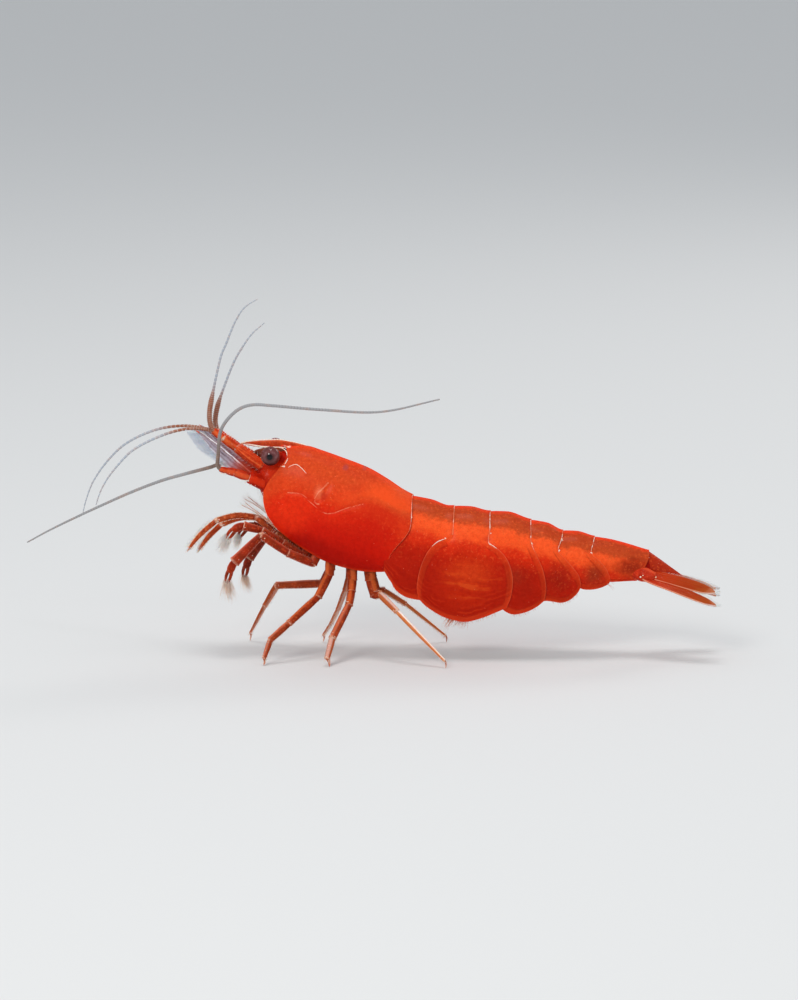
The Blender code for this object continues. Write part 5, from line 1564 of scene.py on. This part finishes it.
def makeTailFan():
    plate = tailFan["telson"]
    sheet = newSheet()
    root, tip = Vector(plate["root"]), Vector(plate["tip"])
    half = levelLine([(t, w / 2) for t, w in plate["widths"]])
    deep = levelLine(plate["deep"])
    ts = np.linspace(0, 1, 40)
    path = [root.lerp(tip, t) + Vector((0, 0, 0.36 - deep(t))) for t in ts]
    radii = [(half(t) * math.sqrt(max(1 - max((t - 0.93) / 0.07, 0) ** 2, 0.02)), deep(t)) for t in ts]
    sweepTube(sheet, path, radii, 28, run=ts, down=[1.2 + 1.6 * t for t in ts],
              rim=[0.5 - 0.42 * fade(t, 0.8, 1) for t in ts])
    for side in (-1, 1):
        for t in (0.52, 0.66, 0.79, 0.9):       # pairs of small spines on the back
            place = root.lerp(tip, t) + Vector((0, side * half(t) * 0.62, 0.36 - 0.28 * deep(t)))
            addTooth(sheet, place, (0.9, side * 0.1, -0.35), 0.13, 0.022, 0.02, 6)
        for k in range(4):                       # and longer ones across the end
            end = tip + Vector((-0.06, side * (0.02 + 0.035 * k), 0.26))
            addTooth(sheet, end, (0.9, side * 0.09 * k, -0.3), 0.2, 0.022, 0.02, 6)
            tailFringe.plume(end, (0.9, side * 0.12 * k, -0.3), 0.34, 0.011, (0, 1, 0),
                             (0.5 + side * 0.1 * k, 0.5), 6)
    addSolid("telsonPlate", sheet, tailRed, "shell", ["telson"])
    for name, side in bothSides:
        drop = Vector((0, 0, tailFan["drop"][name]))
        base, hinge = newSheet(), tailFan["hinge"]
        bentArticle(base, mirrored(hinge["path"], side), hinge["radii"], 18, count=16, joint=0.0)
        # pale knobs on the hinge, painted highlights
        for place, size in hinge["knobs"]:
            addBead(base, mirrored([place], side)[0], size)
        addSolid(f"tailHinge_{name}", base, hingeRed, "shell", [f"uropod_base_{name}"])
        for kind in ("inner", "outer"):
            leaf = tailFan[kind]
            sheet = newSheet()
            root, tip = (Vector(p) for p in mirrored([leaf["root"], leaf["tip"]], side))
            edge = leafSheet(sheet, root, tip + drop, (0, side, leaf["lean"]), leaf["widths"], 0.06, 0.1,
                             46, 24, 0.035)
            if kind == "outer":                  # the tooth on its outer edge
                start, ahead, across = edge(0.72, 1.0)
                addTooth(sheet, start - across * 0.05, ahead, 0.2, 0.045, 0.02, 8)
            band = 0.15 + 0.2 * (kind == "outer") + 0.45 * (side > 0)
            fringeLeaf(tailFringe, edge, 34, 0.32, band, 0.3, 0.011, 6)
            addSolid(f"tailLeaf_{kind}_{name}", sheet, leafRed, "shell", [f"uropod_{kind}_{name}"])
    print("tail fan made")


def feelerFinish(name, root, far, joint, change):
    # beads: the root's colour turns into the far colour, and each joint is marked
    paint = Finish(name, coat=0.4, coatRough=0.1, specular=0.5)
    run, rim = paint.attribute("run"), paint.attribute("rim")
    place = run + (paint.noise(3.0) - 0.5) * 0.06
    paint.base = paint.mix(paint.between(place, change - 0.06, change + 0.1), root, far)
    paint.lay(paint.cloud(0.45, 0.7, 2.5, 2.0) * 0.35, (0.55, 0.3, 0.2))
    paint.lay(paint.between(rim, 0.55, 1.0) * 0.75, joint)
    paint.join(0.28 + paint.noise(6.0) * 0.2)
    return paint


def scaleFinish():
    paint = Finish("scaleGrey", coat=0.5, coatRough=0.08, specular=0.5)
    run, down = paint.attribute("run"), paint.attribute("down")
    streaks = paint.noise(1.4, 4.0, (1.0, 1.0, 6.0))
    paint.base = paint.ramp(down + (streaks - 0.5) * 0.35, 0.0, 1.0, [
        (0.0, (0.8, 0.82, 0.92)), (0.16, (0.36, 0.27, 0.32)), (0.36, (0.58, 0.52, 0.62)),
        (0.55, (0.24, 0.15, 0.19)),
        (0.74, (0.52, 0.45, 0.54)), (0.88, (0.28, 0.14, 0.14)), (0.955, (0.9, 0.86, 0.9)),
        (1.0, (1.0, 0.98, 1.0))])
    paint.lay(paint.between(run + (paint.noise(2.0) - 0.5) * 0.15, 0.46, 0.24) * 0.95, (0.62, 0.055, 0.014))
    blotch = paint.cloud(0.52, 0.68, 1.6, 3.0)
    paint.lay(blotch * 0.35, (0.36, 0.13, 0.08))
    paint.join(0.24 + paint.noise(5.0) * 0.2)
    paint.bump(streaks, 0.02)
    return paint


def leafFinish():
    paint = Finish("leafRed", coat=0.07, coatRough=0.12, specular=0.02)
    run, rim = paint.attribute("run"), paint.attribute("rim")
    paint.base = paint.ramp(run + (paint.noise(1.5, 4.0) - 0.5) * 0.25, 0.0, 1.0, [
        (0.0, (0.5, 0.022, 0.004)), (0.3, (0.48, 0.036, 0.005)), (0.6, (0.4, 0.042, 0.006)),
        (0.88, (0.38, 0.062, 0.009)), (1.0, (0.56, 0.2, 0.1))])
    streak = paint.cloud(0.5, 0.66, 1.4, 4.0, (0.35, 2.0, 1.0))
    paint.lay(streak * 0.45, (0.34, 0.02, 0.003))
    paint.lay(paint.between(rim, 0.05, 0.012) * 0.55, (1.0, 0.46, 0.28))
    paint.join(0.3 + paint.noise(7.0) * 0.2)
    paint.bump(paint.noise(6.0, 3.0), 0.015)
    return paint


def hairFinish(name, first, second):
    # bristles take a tone between two from their coat's map
    paint = Finish(name, rough=0.42, specular=0.45, sss=0.2, sssScale=0.1 * mm)
    where = paint.node("ShaderNodeUVMap", {"uv_map": "OFBake"})
    tone = paint.node("ShaderNodeTexNoise", inputs={"Vector": where, "Scale": 22.0, "Detail": 3.0})
    paint.base = paint.mix(paint.between(tone, 0.3, 0.7), first, second)
    paint.join()
    return paint


def makeStudio():
    floor = bmesh.new()
    bmesh.ops.create_grid(floor, x_segments=1, y_segments=1, size=4)
    mesh = bpy.data.meshes.new("studioFloor")
    floor.to_mesh(mesh)
    floor.free()
    ground = bpy.data.objects.new("studioFloor", mesh)
    bpy.context.scene.collection.objects.link(ground)
    plain = Finish("studioFloor", rough=0.9, specular=0.15)
    plain.shader.inputs["Base Color"].default_value = (0.74, 0.74, 0.73, 1)
    mesh.materials.append(plain.material)

    world = bpy.data.worlds.new("studioAir")
    world.use_nodes = True
    world.node_tree.nodes["Background"].inputs["Color"].default_value = (0.86, 0.9, 0.95, 1)
    world.node_tree.nodes["Background"].inputs["Strength"].default_value = 0.66
    bpy.context.scene.world = world
    for name, place, aim, size, power, colour in studio["lamps"]:
        lamp = bpy.data.lights.new(name, "AREA")
        lamp.shape, lamp.size, lamp.energy, lamp.color = "SQUARE", size, power, colour
        stand = bpy.data.objects.new(name, lamp)
        stand.location = Vector(place)
        stand.rotation_euler = (Vector(aim) - Vector(place)).to_track_quat("-Z", "Y").to_euler()
        bpy.context.scene.collection.objects.link(stand)


# name, place, aim, size in metres, watts, colour
studio = {
    "lamps": [
        ("keySoftbox", (-0.1, -0.3, 0.2), (0, 0, 0.01), 0.1, 0.43, (1.0, 0.98, 0.95)),
        ("topSoftbox", (0.01, -0.03, 0.3), (0, 0, 0.01), 0.09, 0.24, (1.0, 1.0, 1.0)),
        ("rearStrip", (0.16, 0.2, 0.14), (0, 0, 0.012), 0.08, 0.1, (1.0, 0.97, 0.94))]}

# degrees and millimetres; perMm is how many of the frame's frameHeight steps one millimetre takes
view = {
    "azimuth": 3.0, "elevation": 9.0, "distance": 300.0, "aim": (9.377, 0.0, 9.323), "perMm": 16.87,
    "frameHeight": 1000, "sensor": 36.0}


def makeCamera():
    turn, rise = math.radians(view["azimuth"]), math.radians(view["elevation"])
    ahead = Vector((-math.sin(turn) * math.cos(rise), math.cos(turn) * math.cos(rise), -math.sin(rise)))
    lens = bpy.data.cameras.new("camera")
    lens.sensor_width = view["sensor"]
    lens.lens = view["perMm"] * view["distance"] / view["frameHeight"] * view["sensor"]
    lens.clip_start, lens.clip_end = 0.01, 20
    camera = bpy.data.objects.new("camera", lens)
    camera.location = noseTip + (Vector(view["aim"]) - ahead * view["distance"]) * mm
    camera.rotation_euler = ahead.to_track_quat("-Z", "Y").to_euler()
    bpy.context.scene.collection.objects.link(camera)
    bpy.context.scene.camera = camera


hoodRed = hoodFinish()
ringRed = ringFinish()
fleshRed = softRed("fleshRed", (0.46, 0.01, 0.002), (0.3, 0.005, 0.002), (0.84, 0.046, 0.008), sss=0.1)
noseRed = softRed("noseRed", (0.6, 0.075, 0.02), (0.44, 0.04, 0.012), (0.95, 0.16, 0.05))
stalkRed = softRed("stalkRed", (0.62, 0.028, 0.006), (0.46, 0.012, 0.003), (0.96, 0.13, 0.035))
limbRed = softRed("limbRed", (0.34, 0.03, 0.007), (0.18, 0.011, 0.003), (0.8, 0.16, 0.038))
jawRed = softRed("jawRed", (0.48, 0.062, 0.013), (0.26, 0.02, 0.005), (0.96, 0.28, 0.09))
limbDeep = softRed("limbDeep", (0.33, 0.014, 0.004), (0.17, 0.006, 0.002), (0.8, 0.12, 0.03))
browShade = softRed("browShade", (0.16, 0.04, 0.022), (0.09, 0.016, 0.01), (0.42, 0.1, 0.04))
limbFarShade = softRed("limbFarShade", (0.22, 0.014, 0.007), (0.1, 0.007, 0.004), (0.5, 0.07, 0.03))
feelerStalk = softRed("feelerStalk", (0.7, 0.05, 0.01), (0.46, 0.02, 0.005), (1.0, 0.2, 0.05))
paleRod = softRed("paleRod", (0.62, 0.46, 0.42), (0.48, 0.3, 0.26), (0.8, 0.7, 0.68))
eyeBrown = eyeFinish()
scaleGrey = scaleFinish()
leafRed = leafFinish()
tailRed = finishShell(shellRed("tailRed", [(0.0, (0.44, 0.03, 0.009)), (1.0, (0.46, 0.03, 0.008)),
                                            (2.2, (0.42, 0.03, 0.01)), (3.0, (0.42, 0.044, 0.016))], 3.0))
feelerBrown = feelerFinish("feelerBrown", (0.3, 0.075, 0.02), (0.4, 0.44, 0.5), (0.72, 0.64, 0.58), 0.27)
whipGrey = feelerFinish("whipGrey", (0.2, 0.13, 0.1), (0.34, 0.34, 0.35), (0.11, 0.07, 0.05), 0.1)
paleHair = hairFinish("paleHair", (0.78, 0.72, 0.66), (0.96, 0.96, 0.96))
rustHair = hairFinish("rustHair", (0.7, 0.1, 0.04), (0.9, 0.42, 0.26))
warmHair = hairFinish("warmHair", (0.8, 0.46, 0.32), (1.0, 0.84, 0.72))
creamHair = hairFinish("creamHair", (1.0, 0.84, 0.72), (1.0, 1.0, 0.98))
bluishHair = hairFinish("bluishHair", (0.72, 0.76, 0.88), (0.92, 0.96, 1.0))
highlightWhite = softRed("highlightWhite", (0.95, 0.7, 0.6), (0.9, 0.5, 0.38), (1.0, 0.92, 0.88), sss=0.0)
baseRed = softRed("baseRed", (0.5, 0.022, 0.005), (0.3, 0.009, 0.003), (0.88, 0.13, 0.035))
hingeRed = softRed("hingeRed", (0.58, 0.028, 0.008), (0.4, 0.014, 0.004), (0.9, 0.12, 0.04))

legHairs, combHairs, feelerHairs = Coat("legBristles"), Coat("jawCombs"), Coat("feelerHairs")
brushPale, brushWarm = Coat("brushesPale"), Coat("brushesWarm")
plateHairs = Coat("plateHairs")
scaleFringe, tailFringe, bellyFringe = Coat("scaleFringe"), Coat("tailFringe"), Coat("swimmeretFringe")
for make in (makeHood, makeRings, makeJointSkin, makeHinges, makeCores, makeNose, makeEyes, makeWalkingLegs,
             makeClawedLegs, makeJaws, makeMouth, makeAntennules, makeAntennae, makeScales, makeSwimmerets,
             makeTailFan, makeLooseHairs):
    make()
for coat, finish, slot in (
        (legHairs, warmHair, "limbs"), (combHairs, paleHair, "limbs"), (feelerHairs, paleHair, "feelers"),
        (brushPale, creamHair, "limbs"), (brushWarm, warmHair, "limbs"), (scaleFringe, bluishHair, "scales"),
        (tailFringe, paleHair, "shell"), (bellyFringe, rustHair, "limbs"), (plateHairs, rustHair, "shell")):
    coat.build(finish, slot)
bpy.context.scene.view_settings.view_transform = "Standard"
makeStudio()
makeCamera()
